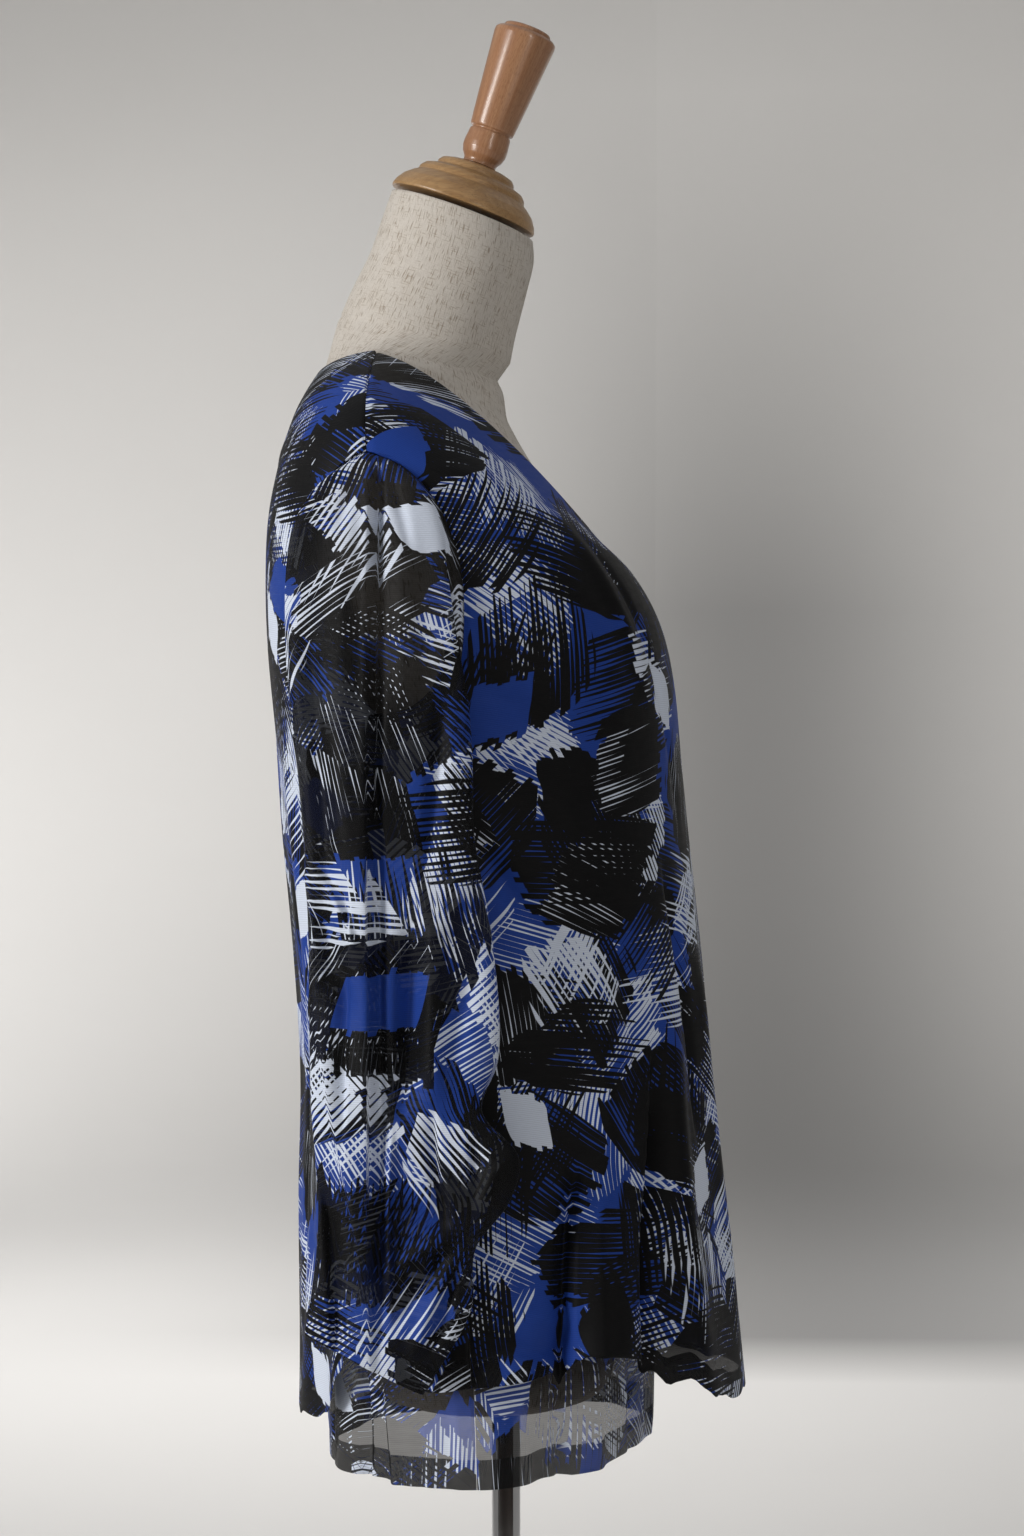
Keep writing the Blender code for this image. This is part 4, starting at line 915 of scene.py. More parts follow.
def form_shell(mat):
    """The linen body and neck, with its seams as fine grooves."""
    count = 201
    angle = np.linspace(-180, 180, count)
    rings = []
    last = form(angle, np.full(count, 13.0))
    centre = np.array([0.0, (last[:, 1].min() + last[:, 1].max()) / 2, 0.0])
    for scale, rise in ((0.0, 0.0), (0.30, 0.0), (0.60, 0.0), (0.80, 0.0), (0.90, 0.0035), (0.965, 0.011)):
        ring = centre + (last - centre) * scale
        ring[:, 2] = FORM_BOTTOM + rise
        rings.append(ring)
    under_cloth = len(rings)
    for k in np.concatenate([np.linspace(13, 4, 90), np.linspace(3.9, 0.0, 60)]):
        rings.append(form(angle, np.full(count, float(k))))
    a = np.radians(angle)
    at = np.arange(len(NECK))
    t = np.linspace(0, len(NECK) - 1, 44)
    for y, z, depth, width, tilt in np.stack([spline(at, column(NECK, NECK_COLUMNS, c), t) for c in NECK_COLUMNS], -1):
        across = -np.cos(a) * depth
        lean = math.radians(tilt)
        rings.append(np.stack([np.sin(a) * width, y + across * math.cos(lean), z + across * math.sin(lean)], -1))
    top = rings[-1]
    middle = top.mean(axis=0)
    for scale in (0.985, 0.6, 0.0):
        rings.append(middle + (top - middle) * scale)
    points = np.array(rings)[::-1]
    n = np.cross(np.gradient(points, axis=0), np.gradient(points, axis=1))
    n /= np.maximum(np.linalg.norm(n, axis=-1, keepdims=True), 1e-9)
    x, y, z = points[..., 0], points[..., 1], points[..., 2]

    def groove(distance, where=1.0, deep=0.0007, wide=0.0009):
        return -deep * np.exp(-((distance / wide) ** 2)) * where

    neck_seam = z - (1.3860 - 0.36 * (0.122 - y))
    below = smooth(-(neck_seam - 0.001) / 0.004)
    shift = groove(neck_seam, (z > 1.33) * 1.0)
    shift = shift + groove(y - 0.0790, below * (z > 1.2) * (np.abs(x) > 0.04))
    shift[:2] = 0
    shift[-under_cloth:] = 0
    points = points + n * shift[..., None]
    u = np.broadcast_to(a[None, :] * 0.085, x.shape)
    v = np.concatenate([np.zeros((1, count)), np.cumsum(np.linalg.norm(np.diff(points, axis=0), axis=2), axis=0)])
    obj = cloth_object("linen_form", points, np.stack([u, v], -1), 0.0)
    return finish_piece(obj, "form_body", "linen", mat)


def rounded(profile, radius, steps=3):
    """The turned profile with its corners rounded, so that edges catch the light."""
    out = [profile[0]]
    for a, b, c in zip(profile, profile[1:], profile[2:]):
        a, b, c = np.array(a), np.array(b), np.array(c)
        la, lc = np.linalg.norm(a - b), np.linalg.norm(c - b)
        r = min(radius, la * 0.45, lc * 0.45)
        p, q = b + (a - b) / la * r, b + (c - b) / lc * r
        for i in range(steps + 1):
            t = i / steps
            out.append(tuple(p * (1 - t) ** 2 + b * 2 * t * (1 - t) + q * t**2))
    out.append(profile[-1])
    return out


def turned(name, profile, steps, node, slot, mat, location=(0, 0, 0), tilt=0.0, radius=0.0006):
    """A profile of (radius, height) turned about Z, top to bottom."""
    profile = np.array(rounded(profile, radius))
    a = np.linspace(0, 2 * math.pi, steps + 1)
    r, h = profile[:, 0][:, None], profile[:, 1][:, None]
    points = np.stack([r * np.cos(a), r * np.sin(a), h + 0 * a], -1)
    length = np.concatenate([[0], np.cumsum(np.linalg.norm(np.diff(profile, axis=0), axis=1))])
    u = np.broadcast_to(a[None, :] * max(profile[:, 0]), points.shape[:2])
    flat = np.stack([u, length[:, None] + 0 * u], -1)
    obj = cloth_object(name, points, flat, 0.0)
    obj.data.attributes.remove(obj.data.attributes["veil"])
    obj.location = location
    obj.rotation_euler = (math.radians(tilt), 0, 0)
    bpy.context.view_layer.update()
    obj.data.transform(obj.matrix_world)
    obj.matrix_world.identity()
    obj.location, obj.rotation_euler = (0, 0, 0), (0, 0, 0)
    return finish_piece(obj, node, slot, mat)


# ---------------------------------------------------------------- shader graphs


class Value:
    """A socket of a shader graph, so that a pattern is written as arithmetic."""

    def __init__(self, graph, socket):
        self.graph, self.socket = graph, socket

    def __add__(self, other):
        return self.graph.math("ADD", self, other)

    def __radd__(self, other):
        return self.graph.math("ADD", self, other)

    def __sub__(self, other):
        return self.graph.math("SUBTRACT", self, other)

    def __rsub__(self, other):
        return self.graph.math("SUBTRACT", other, self)

    def __mul__(self, other):
        return self.graph.math("MULTIPLY", self, other)

    def __rmul__(self, other):
        return self.graph.math("MULTIPLY", self, other)

    def __truediv__(self, other):
        return self.graph.math("DIVIDE", self, other)

    def __lt__(self, other):
        return self.graph.math("LESS_THAN", self, other)

    def __gt__(self, other):
        return self.graph.math("GREATER_THAN", self, other)

    def __abs__(self):
        return self.graph.math("ABSOLUTE", self)

    def power(self, other):
        return self.graph.math("POWER", self, other)

    def floor(self):
        return self.graph.math("FLOOR", self)

    def fraction(self):
        return self.graph.math("FRACT", self)

    def step(self, sharpness):
        """0 below zero and 1 above it, over a narrow edge."""
        return self.graph.math("MULTIPLY_ADD", self, sharpness, 0.5, clamp=True)


class Graph:
    def __init__(self, tree):
        self.tree = tree

    def put(self, socket, value):
        if isinstance(value, Value):
            self.tree.links.new(value.socket, socket)
        elif value is not None:
            socket.default_value = value

    def node(self, kind, inputs=(), **settings):
        made = self.tree.nodes.new(kind)
        for key, value in settings.items():
            setattr(made, key, value)
        for key, value in dict(inputs).items():
            self.put(made.inputs[key], value)
        return made

    def out(self, made, key=0):
        return Value(self, made.outputs[key])

    def math(self, operation, *values, clamp=False):
        made = self.node("ShaderNodeMath", operation=operation, use_clamp=clamp)
        for socket, value in zip(made.inputs, values):
            self.put(socket, value)
        return self.out(made)

    def vector(self, operation, *values):
        made = self.node("ShaderNodeVectorMath", operation=operation)
        for socket, value in zip(made.inputs, values):
            self.put(socket, value)
        return self.out(made)

    def scaled(self, vector, scale):
        made = self.node("ShaderNodeVectorMath", {0: vector, "Scale": scale}, operation="SCALE")
        return self.out(made)

    def turned(self, vector, angle):
        return self.out(self.node("ShaderNodeVectorRotate", {"Vector": vector, "Angle": angle}, rotation_type="Z_AXIS"))

    def join(self, x=0.0, y=0.0, z=0.0):
        return self.out(self.node("ShaderNodeCombineXYZ", {"X": x, "Y": y, "Z": z}))

    def split(self, vector):
        made = self.node("ShaderNodeSeparateXYZ", {0: vector})
        return [self.out(made, i) for i in range(3)]

    def noise(self, vector, scale, detail=0.0, dimensions="2D", roughness=0.5):
        made = self.node(
            "ShaderNodeTexNoise", {"Vector": vector, "Scale": scale, "Detail": detail, "Roughness": roughness},
            noise_dimensions=dimensions,
        )
        return self.out(made, "Fac" if "Fac" in made.outputs else 0)

    def mix(self, factor, a, b):
        made = self.node("ShaderNodeMix", data_type="RGBA")
        self.put(made.inputs["Factor"], factor)
        self.put(made.inputs[6], a)
        self.put(made.inputs[7], b)
        return Value(self, made.outputs[2])

    def blend(self, factor, a, b):
        made = self.node("ShaderNodeMix", data_type="FLOAT")
        self.put(made.inputs["Factor"], factor)
        self.put(made.inputs[2], a)
        self.put(made.inputs[3], b)
        return Value(self, made.outputs[0])


def new_material(name):
    mat = bpy.data.materials.new(name)
    mat.use_nodes = True
    graph = Graph(mat.node_tree)
    return mat, graph, mat.node_tree.nodes["Principled BSDF"]


BLUE = (0.0130, 0.0500, 0.2900, 1.0)
WHITE = (0.650, 0.710, 0.830, 1.0)
BLACK = (0.0028, 0.0028, 0.0034, 1.0)
# The print, bottom layer first: patches scattered a cell apart, their half length and half width, the
# strokes' pitch, the share of cells with a patch, how full of ink it is and how much fuller at one end.
# A patch with no paper shows what lies below between its strokes.
PRINT_COLUMNS = ("seed", "cell", "long", "wide", "pitch", "share", "fill", "run", "paper", "ink")
PRINT = (
    (1.0, 0.092, 0.058, 0.050, 0.0036, 0.92, 0.62, 0.34, WHITE, BLUE),
    (2.0, 0.100, 0.056, 0.044, 0.0034, 0.80, 0.68, 0.60, BLUE, BLACK),
    (3.0, 0.094, 0.060, 0.036, 0.0040, 0.70, 0.22, 0.70, None, WHITE),
    (4.0, 0.100, 0.062, 0.046, 0.0038, 0.90, 0.72, 0.75, None, BLACK),
    (5.0, 0.120, 0.056, 0.042, 0.0034, 0.50, 1.02, 0.40, WHITE, BLACK),
    (6.0, 0.112, 0.060, 0.036, 0.0042, 0.50, 0.24, 0.80, None, WHITE),
    (7.0, 0.114, 0.064, 0.036, 0.0040, 0.68, 0.80, 0.80, None, BLACK),
    (8.0, 0.140, 0.038, 0.024, 0.0040, 0.55, 1.60, 0.30, BLACK, BLACK),
    (9.0, 0.160, 0.030, 0.018, 0.0040, 0.30, -1.0, 0.30, WHITE, BLUE),
    (10.0, 0.150, 0.034, 0.024, 0.0040, 0.36, 1.60, 0.30, BLUE, BLUE),
)


def brushed(g, flat, seed, cell, long, wide, pitch, share, fill, run):
    """One layer of scattered leaf and lozenge patches filled with straight brush strokes.

    Gives where a patch covers the cloth, and where its strokes have left ink.
    """
    at = g.vector("ADD", g.turned(flat, seed * 0.83), (seed * 3.71, seed * 1.93, 0.0))
    cells = g.node(
        "ShaderNodeTexVoronoi", {"Vector": at, "Scale": 1 / cell, "Randomness": 0.75}, voronoi_dimensions="2D", feature="F1"
    )
    r1, r2, r3 = g.split(g.out(cells, "Color"))
    local = g.vector("SUBTRACT", at, g.out(cells, "Position"))
    a, b, _ = g.split(g.turned(local, r3 * 6.283))
    shape = (abs(a) / long).power(r1 * 1.1 + 1.15) + abs(b) / wide - 1.0
    s, c, _ = g.split(g.turned(local, r3 * 6.283 + (r2 - 0.5) * 1.7))
    line = c / pitch + r2 * 31.0
    index = line.floor()
    across = abs(line.fraction() - 0.5) * 2.0
    each = g.out(g.node("ShaderNodeTexWhiteNoise", {"Vector": g.join(index, r1 * 57.0)}, noise_dimensions="2D"), "Value")
    rough = g.noise(g.join(s * 26.0, line * 0.8 + r3 * 40.0), 1.0, detail=1.0)
    density = s / long * run + (each - 0.5) * 0.75 + (rough - 0.5) * 0.9 + fill
    ink = (density - across).step(6.0)
    cover = (shape * -1.0 + (each - 0.7) * 0.30).step(60.0) * (r1 < share)
    return cover, ink


def print_group():
    """The printed design: a node group from flat coordinates to its colour."""
    tree = bpy.data.node_groups.new("Brushed_leaves", "ShaderNodeTree")
    tree.interface.new_socket("Flat", in_out="INPUT", socket_type="NodeSocketVector")
    tree.interface.new_socket("Color", in_out="OUTPUT", socket_type="NodeSocketColor")
    g = Graph(tree)
    start = tree.nodes.new("NodeGroupInput")
    end = tree.nodes.new("NodeGroupOutput")
    flat = Value(g, start.outputs["Flat"])
    # The strokes bow a little, as a hand draws them
    warp = g.node("ShaderNodeTexNoise", {"Vector": flat, "Scale": 7.0, "Detail": 0.0}, noise_dimensions="2D")
    flat = g.vector("ADD", flat, g.scaled(g.vector("SUBTRACT", g.out(warp, "Color"), (0.5, 0.5, 0.5)), 0.010))
    colour = BLUE
    for seed, cell, long, wide, pitch, share, fill, run, paper, ink_colour in PRINT:
        cover, ink = brushed(g, flat, seed, cell, long, wide, pitch, share, fill, run)
        if paper is None:
            colour = g.mix(cover * ink, colour, ink_colour)
        else:
            colour = g.mix(cover, colour, g.mix(ink, paper, ink_colour))
    g.put(end.inputs["Color"], colour)
    return tree


def printed(name, group, offset, turn, sheer):
    """Printed knit with fine ribs round the cloth. Where it is sheer, its alpha follows the ink."""
    mat, g, shader = new_material(name)
    flat = g.out(g.node("ShaderNodeUVMap", uv_map="flat"), "UV")
    made = g.node("ShaderNodeGroup", node_tree=group)
    g.put(made.inputs["Flat"], g.vector("ADD", g.turned(flat, turn), (*offset, 0.0)))
    colour = g.out(made, "Color")
    u, v, _ = g.split(flat)
    # Knit ribs 1.3 mm apart, with the yarn's unevenness
    uneven = g.noise(g.join(u * 60.0, v * 260.0), 1.0, detail=1.0)
    rib = g.math("SINE", v * (6.283 / 0.0013) + uneven * 2.2)
    if sheer:
        veil = g.out(g.node("ShaderNodeAttribute", attribute_name="veil"), "Fac")
        light = g.out(g.node("ShaderNodeRGBToBW", {0: colour}))
        solid = light.power(0.35) * 0.58 + 0.46 + rib * 0.05 + (uneven - 0.5) * 0.10
        g.put(shader.inputs["Alpha"], g.blend(veil, 1.0, g.math("MINIMUM", solid, 0.97)))
    # Painted shade: the knit ribs' light and shade painted into the print's colour
    rib_painted_shade = g.mix(0.16, colour, g.scaled(colour, rib * 0.5 + 0.8))
    g.put(shader.inputs["Base Color"], rib_painted_shade)
    g.put(shader.inputs["Roughness"], (uneven - 0.5) * 0.12 + 0.62)
    shader.inputs["Specular IOR Level"].default_value = 0.16
    shader.inputs["Sheen Weight"].default_value = 0.02
    shader.inputs["Sheen Roughness"].default_value = 0.45
    crepe = g.noise(g.join(u * 380.0, v * 700.0), 1.0, detail=2.0)
    soft = g.noise(g.join(u * 26.0, v * 14.0), 1.0, detail=3.0)
    height = rib * 0.00005 + crepe * 0.00014 + soft * 0.0016
    bump = g.node("ShaderNodeBump", {"Height": height, "Strength": 0.55, "Distance": 1.0})
    g.put(shader.inputs["Normal"], g.out(bump))
    return mat


def linen():
    mat, g, shader = new_material("Linen_weave")
    flat = g.out(g.node("ShaderNodeUVMap", uv_map="flat"), "UV")
    u, v, _ = g.split(flat)
    warp = g.math("SINE", u * (6.283 / 0.00075) + g.noise(g.join(u * 90.0, v * 40.0), 1.0) * 3.0)
    weft = g.math("SINE", v * (6.283 / 0.00075) + g.noise(g.join(u * 40.0, v * 90.0), 1.0) * 3.0)
    down = g.noise(g.join(u * 900.0, v * 110.0), 1.0, detail=1.0)
    round_ = g.noise(g.join(u * 90.0, v * 900.0), 1.0, detail=1.0)
    patches = g.noise(flat, 55.0, detail=2.0)
    slub = (down - 0.66 + (patches - 0.5) * 0.16).step(9.0)
    slub_round = (round_ - 0.70 + (patches - 0.5) * 0.14).step(8.0)
    thread = g.noise(g.join(u * 1300.0, v * 260.0), 1.0, detail=2.0)
    base = g.mix(thread, (0.500, 0.455, 0.400, 1.0), (0.720, 0.680, 0.625, 1.0))
    base = g.mix((patches - 0.5) * 0.5 + 0.15, base, (0.560, 0.500, 0.430, 1.0))
    base = g.mix(slub * 0.62, base, (0.200, 0.140, 0.085, 1.0))
    base = g.mix(slub_round * 0.40, base, (0.260, 0.190, 0.120, 1.0))
    base = g.mix((warp * weft) * 0.06 + 0.06, base, (0.400, 0.350, 0.290, 1.0))
    g.put(shader.inputs["Base Color"], base)
    g.put(shader.inputs["Roughness"], thread * 0.12 + 0.80)
    shader.inputs["Specular IOR Level"].default_value = 0.20
    shader.inputs["Sheen Weight"].default_value = 0.05
    height = warp * 0.00003 + weft * 0.00003 + down * 0.00020 + round_ * 0.00014
    bump = g.node("ShaderNodeBump", {"Height": height, "Strength": 0.8, "Distance": 1.0})
    g.put(shader.inputs["Normal"], g.out(bump))
    return mat


def oak():
    """Yellow-brown open grain running front to back through the turned cap."""
    mat, g, shader = new_material("Oak_satin")
    place = g.out(g.node("ShaderNodeTexCoord"), "Object")
    x, y, z = g.split(place)
    rings = g.noise(g.join(x * 60.0, y * 9.0, z * 60.0), 1.0, detail=2.0, dimensions="3D")
    bands = g.math("SINE", rings * 46.0)
    pores = g.noise(g.join(x * 1500.0, y * 120.0, z * 1500.0), 1.0, detail=1.0, dimensions="3D")
    base = g.mix(bands * 0.30 + 0.45, (0.400, 0.235, 0.098, 1.0), (0.290, 0.150, 0.052, 1.0))
    base = g.mix((pores - 0.58).step(7.0) * 0.55, base, (0.150, 0.070, 0.022, 1.0))
    base = g.mix(g.noise(place, 22.0, dimensions="3D") * 0.35, base, (0.520, 0.330, 0.150, 1.0))
    g.put(shader.inputs["Base Color"], base)
    g.put(shader.inputs["Roughness"], pores * 0.14 + 0.34)
    shader.inputs["Coat Weight"].default_value = 0.25
    shader.inputs["Coat Roughness"].default_value = 0.28
    bump = g.node("ShaderNodeBump", {"Height": pores * -0.0002 + bands * 0.00002, "Strength": 0.6, "Distance": 1.0})
    g.put(shader.inputs["Normal"], g.out(bump))
    return mat


def beech():
    """Reddish turned wood with short flecks along its length, under gloss varnish."""
    mat, g, shader = new_material("Beech_gloss")
    flat = g.out(g.node("ShaderNodeUVMap", uv_map="flat"), "UV")
    u, v, _ = g.split(flat)
    grain = g.noise(g.join(u * 420.0, v * 18.0), 1.0, detail=3.0)
    fleck = g.noise(g.join(u * 1400.0, v * 260.0), 1.0, detail=1.0)
    broad = g.noise(g.join(u * 70.0, v * 7.0), 1.0, detail=1.0)
    base = g.mix(broad, (0.350, 0.170, 0.085, 1.0), (0.480, 0.270, 0.150, 1.0))
    base = g.mix((grain - 0.5) * 1.6 + 0.4, base, (0.300, 0.135, 0.062, 1.0))
    base = g.mix((fleck - 0.60).step(8.0) * 0.35, base, (0.190, 0.080, 0.035, 1.0))
    g.put(shader.inputs["Base Color"], base)
    g.put(shader.inputs["Roughness"], grain * 0.08 + 0.26)
    shader.inputs["Coat Weight"].default_value = 0.28
    shader.inputs["Coat Roughness"].default_value = 0.10
    bump = g.node("ShaderNodeBump", {"Height": grain * 0.00004, "Strength": 0.5, "Distance": 1.0})
    g.put(shader.inputs["Normal"], g.out(bump))
    return mat


def polished(name, base, low, high):
    """Polished metal with faint smears and fine scratches."""
    mat, g, shader = new_material(name)
    place = g.out(g.node("ShaderNodeTexCoord"), "Object")
    x, y, z = g.split(place)
    smear = g.noise(place, 26.0, detail=3.0, dimensions="3D")
    brush = g.noise(g.join(x * 160.0, y * 160.0, z * 14.0), 1.0, detail=2.0, dimensions="3D")
    g.put(shader.inputs["Base Color"], g.mix(smear, base, tuple(c * 0.93 for c in base[:3]) + (1.0,)))
    shader.inputs["Metallic"].default_value = 1.0
    g.put(shader.inputs["Roughness"], g.blend(smear, low, high))
    bump = g.node("ShaderNodeBump", {"Height": brush * 0.00001, "Strength": 0.3, "Distance": 1.0})
    g.put(shader.inputs["Normal"], g.out(bump))
    return mat


# ---------------------------------------------------------------- studio


def studio():
    """A plain pale floor that curves up into a wall all round, with a painted shade on its far wall, and soft light."""
    radii = np.concatenate([np.linspace(0, 7.0, 12), 7.0 + 3.0 * np.sin(np.linspace(0.05, 1, 14) * math.pi / 2), [10.0, 10.0]])
    lift = 3.0 * (1 - np.cos(np.linspace(0.05, 1, 14) * math.pi / 2))
    heights = np.concatenate([np.zeros(12), lift, [6.0, 8.0]])
    a = np.linspace(0, 2 * math.pi, 97)
    points = np.stack([radii[:, None] * np.cos(a), radii[:, None] * np.sin(a), heights[:, None] + 0 * a], -1)
    mesh = bpy.data.meshes.new("studio_floor")
    rows, columns = points.shape[:2]
    index = np.arange(rows * columns).reshape(rows, columns)
    quads = np.stack([index[:-1, :-1], index[1:, :-1], index[1:, 1:], index[:-1, 1:]], -1).reshape(-1, 4)
    mesh.from_pydata(points.reshape(-1, 3).tolist(), [], quads.tolist())
    mesh.shade_smooth()
    floor = bpy.data.objects.new("studio_floor", mesh)
    bpy.context.scene.collection.objects.link(floor)
    mat, g, shader = new_material("Pale_plaster")
    place = g.out(g.node("ShaderNodeTexCoord"), "Object")
    tint = g.mix(g.noise(place, 0.8, detail=3.0, dimensions="3D"), (0.600, 0.585, 0.560, 1.0), (0.640, 0.625, 0.600, 1.0))
    # Painted shade: a broad soft shadow painted into the plaster's colour on the far wall, towards the garment's front
    x, y, z = g.split(place)
    off = (y + 0.30) / 0.85
    painted_wall_shade = g.math("EXPONENT", off * off * -1.0) * (2.5 - z).step(0.55) * (x - 3.9).step(2.0)
    tint = g.mix(painted_wall_shade * 0.92, tint, (0.205, 0.200, 0.193, 1.0))
    g.put(shader.inputs["Base Color"], tint)
    shader.inputs["Roughness"].default_value = 0.85
    floor.data.materials.append(mat)

    # A dark sheet in an arc round the viewer's side, hidden from the camera, from diffuse light and from shadows, which
    # only polished things mirror: it paints a dark reflection into them
    reflection_sheet_mesh = bpy.data.meshes.new("dark_reflection_sheet")
    arc = np.radians(np.linspace(-62, 62, 17))
    rim = np.stack([-4.7 * np.cos(arc), 4.7 * np.sin(arc), 0 * arc], -1)
    hung = np.concatenate([rim, rim + (0, 0, 3.0)]).tolist()
    reflection_sheet_mesh.from_pydata(hung, [], [(i, i + 1, i + 18, i + 17) for i in range(16)])
    reflection_sheet = bpy.data.objects.new("dark_reflection_sheet", reflection_sheet_mesh)
    bpy.context.scene.collection.objects.link(reflection_sheet)
    mat, g, shader = new_material("Brown_reflection_sheet")
    shader.inputs["Base Color"].default_value = (0.030, 0.018, 0.012, 1.0)
    shader.inputs["Roughness"].default_value = 0.9
    reflection_sheet.data.materials.append(mat)
    reflection_sheet.visible_camera = reflection_sheet.visible_diffuse = reflection_sheet.visible_shadow = reflection_sheet.visible_transmission = False

    world = bpy.data.worlds.new("Soft_room")
    bpy.context.scene.world = world
    world.use_nodes = True
    world.node_tree.nodes["Background"].inputs["Color"].default_value = (0.94, 0.96, 1.0, 1.0)
    world.node_tree.nodes["Background"].inputs["Strength"].default_value = 0.41

    lamps = (
        # name, place, towards, width, height, spread in degrees, watts, colour
        ("window", (-2.1, 3.1, 1.8), (0, 0, 1.0), 1.1, 1.8, 140, 64.0, (1.0, 0.985, 0.965)),
        ("side_window", (-3.6, -1.9, 1.9), (0, 0, 1.1), 0.5, 1.8, 180, 21.0, (1.0, 0.97, 0.93)),
        ("wall_left", (5.6, 4.6, 1.2), (9.2, 1.6, 0.6), 2.4, 2.0, 95, 96.0, (1.0, 0.995, 1.0)),
        ("wall_right", (5.4, -4.8, 1.6), (9.4, -2.6, 0.8), 2.4, 2.0, 95, 26.0, (1.0, 0.985, 0.97)),
        ("floor_wash", (3.9, 1.2, 4.6), (3.9, 0.9, 0.0), 2.6, 2.6, 80, 54.0, (1.0, 0.995, 1.0)),
    )
    for name, place, towards, width, height, spread, watts, colour in lamps:
        data = bpy.data.lights.new(name, "AREA")
        data.shape, data.size, data.size_y = "RECTANGLE", width, height
        data.energy, data.color, data.spread = watts, colour, math.radians(spread)
        lamp = bpy.data.objects.new(name, data)
        lamp.location = place
        lamp.rotation_euler = (Vector(towards) - Vector(place)).to_track_quat("-Z", "Y").to_euler()
        lamp.visible_camera = False
        bpy.context.scene.collection.objects.link(lamp)


def camera():
    """The photograph's viewpoint: 2.6 m from the pole, level, at 1.06 m, a little towards the front."""
    data = bpy.data.cameras.new("Camera")
    data.lens, data.sensor_width = 84.64, 36.0
    data.shift_x = 6 / 1536
    cam = bpy.data.objects.new("Camera", data)
    cam.location = (-2.5964, -0.1361, 1.06)
    cam.rotation_euler = (Vector((0, 0, 1.06)) - Vector(cam.location)).to_track_quat("-Z", "Y").to_euler()
    bpy.context.scene.collection.objects.link(cam)
    bpy.context.scene.camera = cam
    bpy.context.scene.view_settings.view_transform = "Standard"


# ---------------------------------------------------------------- making


camera()
studio()

group = print_group()
# Where on the printed cloth each piece is cut, and how far it is turned there
CUT_FROM = {
    "outer_front": ((0.31, 0.22), 0.0),
    "outer_back": ((1.72, 0.87), 0.0),
    "under_front": ((4.47, 2.02), 0.3),
    "under_back": ((5.36, 1.97), 0.2),
    "sleeve_right": ((2.79, 1.83), 0.1),
    "sleeve_left": ((3.27, 0.45), -0.1),
}
thin = {node: printed("Sheer_mesh_" + node, group, *place, True) for node, place in CUT_FROM.items()}
body_nodes = ("outer_front", "outer_back", "under_front", "under_back")
cloths = {node: (printed("Printed_mesh_" + node, group, *CUT_FROM[node], False), thin[node]) for node in body_nodes}
cloths.update({node: (thin[node],) for node in ("sleeve_right", "sleeve_left")})

outer_rows = arm_rows(60, 170, SHOULDER_STATION, UNDERARM_STATION, HPS_STATION, HEM_STATION, 70)
under_rows = arm_rows(24, 150, SHOULDER_STATION - 0.1, UNDERARM_STATION + 0.15, HPS_STATION + UNDER_TOP, HEM_STATION, 36)
arm = (SHOULDER_STATION, UNDERARM_STATION)
under_arm = (SHOULDER_STATION - 0.1, UNDERARM_STATION + 0.15)


def to_last(angle):
    return np.full_like(angle, HEM_STATION)


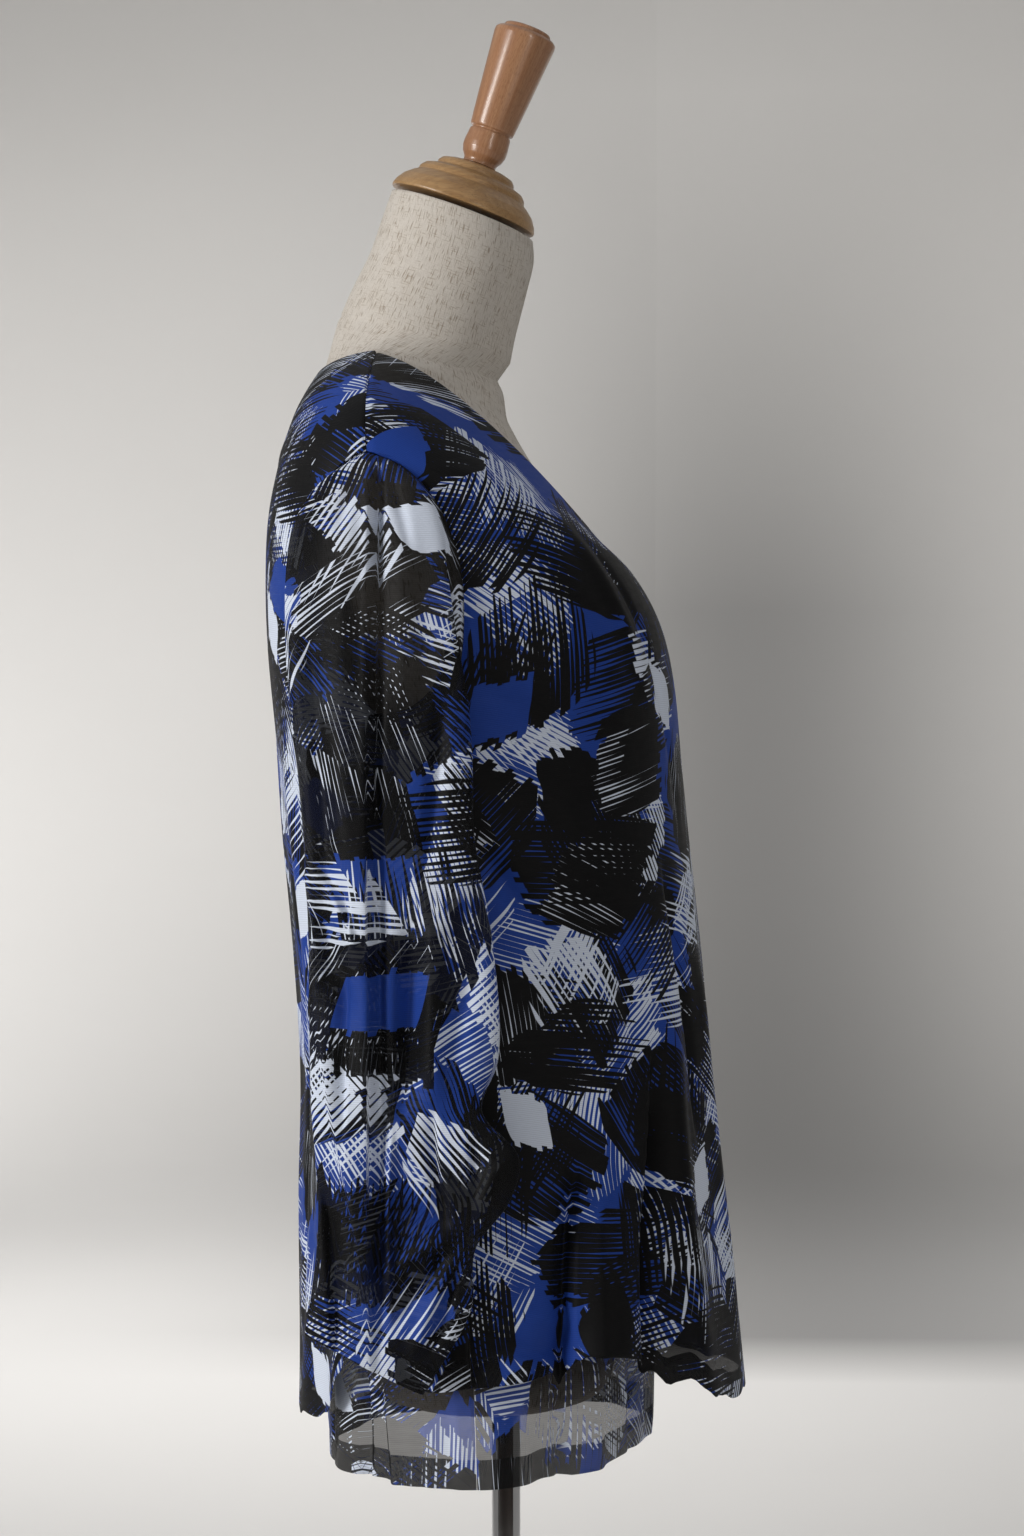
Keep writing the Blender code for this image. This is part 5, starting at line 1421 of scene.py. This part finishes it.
pieces = (
    panel("blouse_front", "outer_front", outer_plain, outer_surface, 0, v_neck, outer_hem_station, outer_rows, 261,
          ARM_FRONT_CUT, arm, OUTER_TURN, outer_sheer, cloths["outer_front"], "printed_mesh", NECK_TURN),
    panel("blouse_back", "outer_back", outer_plain, outer_surface, 180, back_neck, outer_hem_station, outer_rows, 241,
          ARM_BACK_CUT, arm, OUTER_TURN, outer_sheer, cloths["outer_back"], "printed_mesh", NECK_TURN),
    panel("underlayer_front", "under_front", under_plain, under_surface, 0, under_neck_front, to_last, under_rows, 201,
          ARM_FRONT_CUT + 3.0, under_arm, UNDER_TURN, under_sheer, cloths["under_front"], "underlayer_mesh", 0.0),
    panel("underlayer_back", "under_back", under_plain, under_surface, 180, under_neck_back, to_last, under_rows, 201,
          ARM_BACK_CUT + 3.0, under_arm, UNDER_TURN, under_sheer, cloths["under_back"], "underlayer_mesh", 0.0),
    sleeve("right_sleeve", "sleeve_right", -1, SLEEVE_RIGHT, SLEEVE_RIGHT_FOLDS, SLEEVE_VEIL, cloths["sleeve_right"], "printed_mesh"),
    sleeve("left_sleeve", "sleeve_left", 1, SLEEVE_LEFT, SLEEVE_LEFT_FOLDS, SLEEVE_VEIL, cloths["sleeve_left"], "printed_mesh"),
)
linen_form = form_shell(linen())
cap = turned("oak_cap", CAP_PROFILE, 144, "neck_cap", "oak", oak(), CAP_CENTRE, CAP_TILT)
knob = turned("beech_finial", FINIAL_PROFILE, 144, "finial", "beech", beech(), CAP_CENTRE, CAP_TILT)
pole = turned(
    "chrome_pole",
    ((0.0, FORM_BOTTOM - GAP), (POLE_RADIUS, FORM_BOTTOM - GAP), (POLE_RADIUS, BASE_HEIGHT + GAP), (0.0, BASE_HEIGHT + GAP)),
    96, "pole", "chrome", polished("Chrome_polished", (0.78, 0.78, 0.79, 1.0), 0.05, 0.14),
)
base = turned(
    "round_base",
    (
        (0.0, BASE_HEIGHT), (0.022, BASE_HEIGHT), (0.0235, BASE_HEIGHT - 0.0015), (0.0245, BASE_EDGE + 0.0042),
        (0.060, BASE_EDGE + 0.0028), (BASE_RADIUS - 0.004, BASE_EDGE), (BASE_RADIUS, BASE_EDGE - 0.003),
        (BASE_RADIUS, 0.0), (0.0, 0.0),
    ),
    192, "base", "base_steel", polished("Steel_polished", (0.72, 0.72, 0.73, 1.0), 0.10, 0.24),
)

# Each cut's size with its turned-up hem
for (obj, (width, length, area)), turn in zip(pieces, (OUTER_TURN, OUTER_TURN, UNDER_TURN, UNDER_TURN, SLEEVE_TURN, SLEEVE_TURN)):
    flat = (round(width, 3), round(length + turn, 3))
    area = round(area + turn * 0.9 * width, 3)
    print("cut", obj.name, flat, area, "triangles", 2 * len(obj.data.polygons))
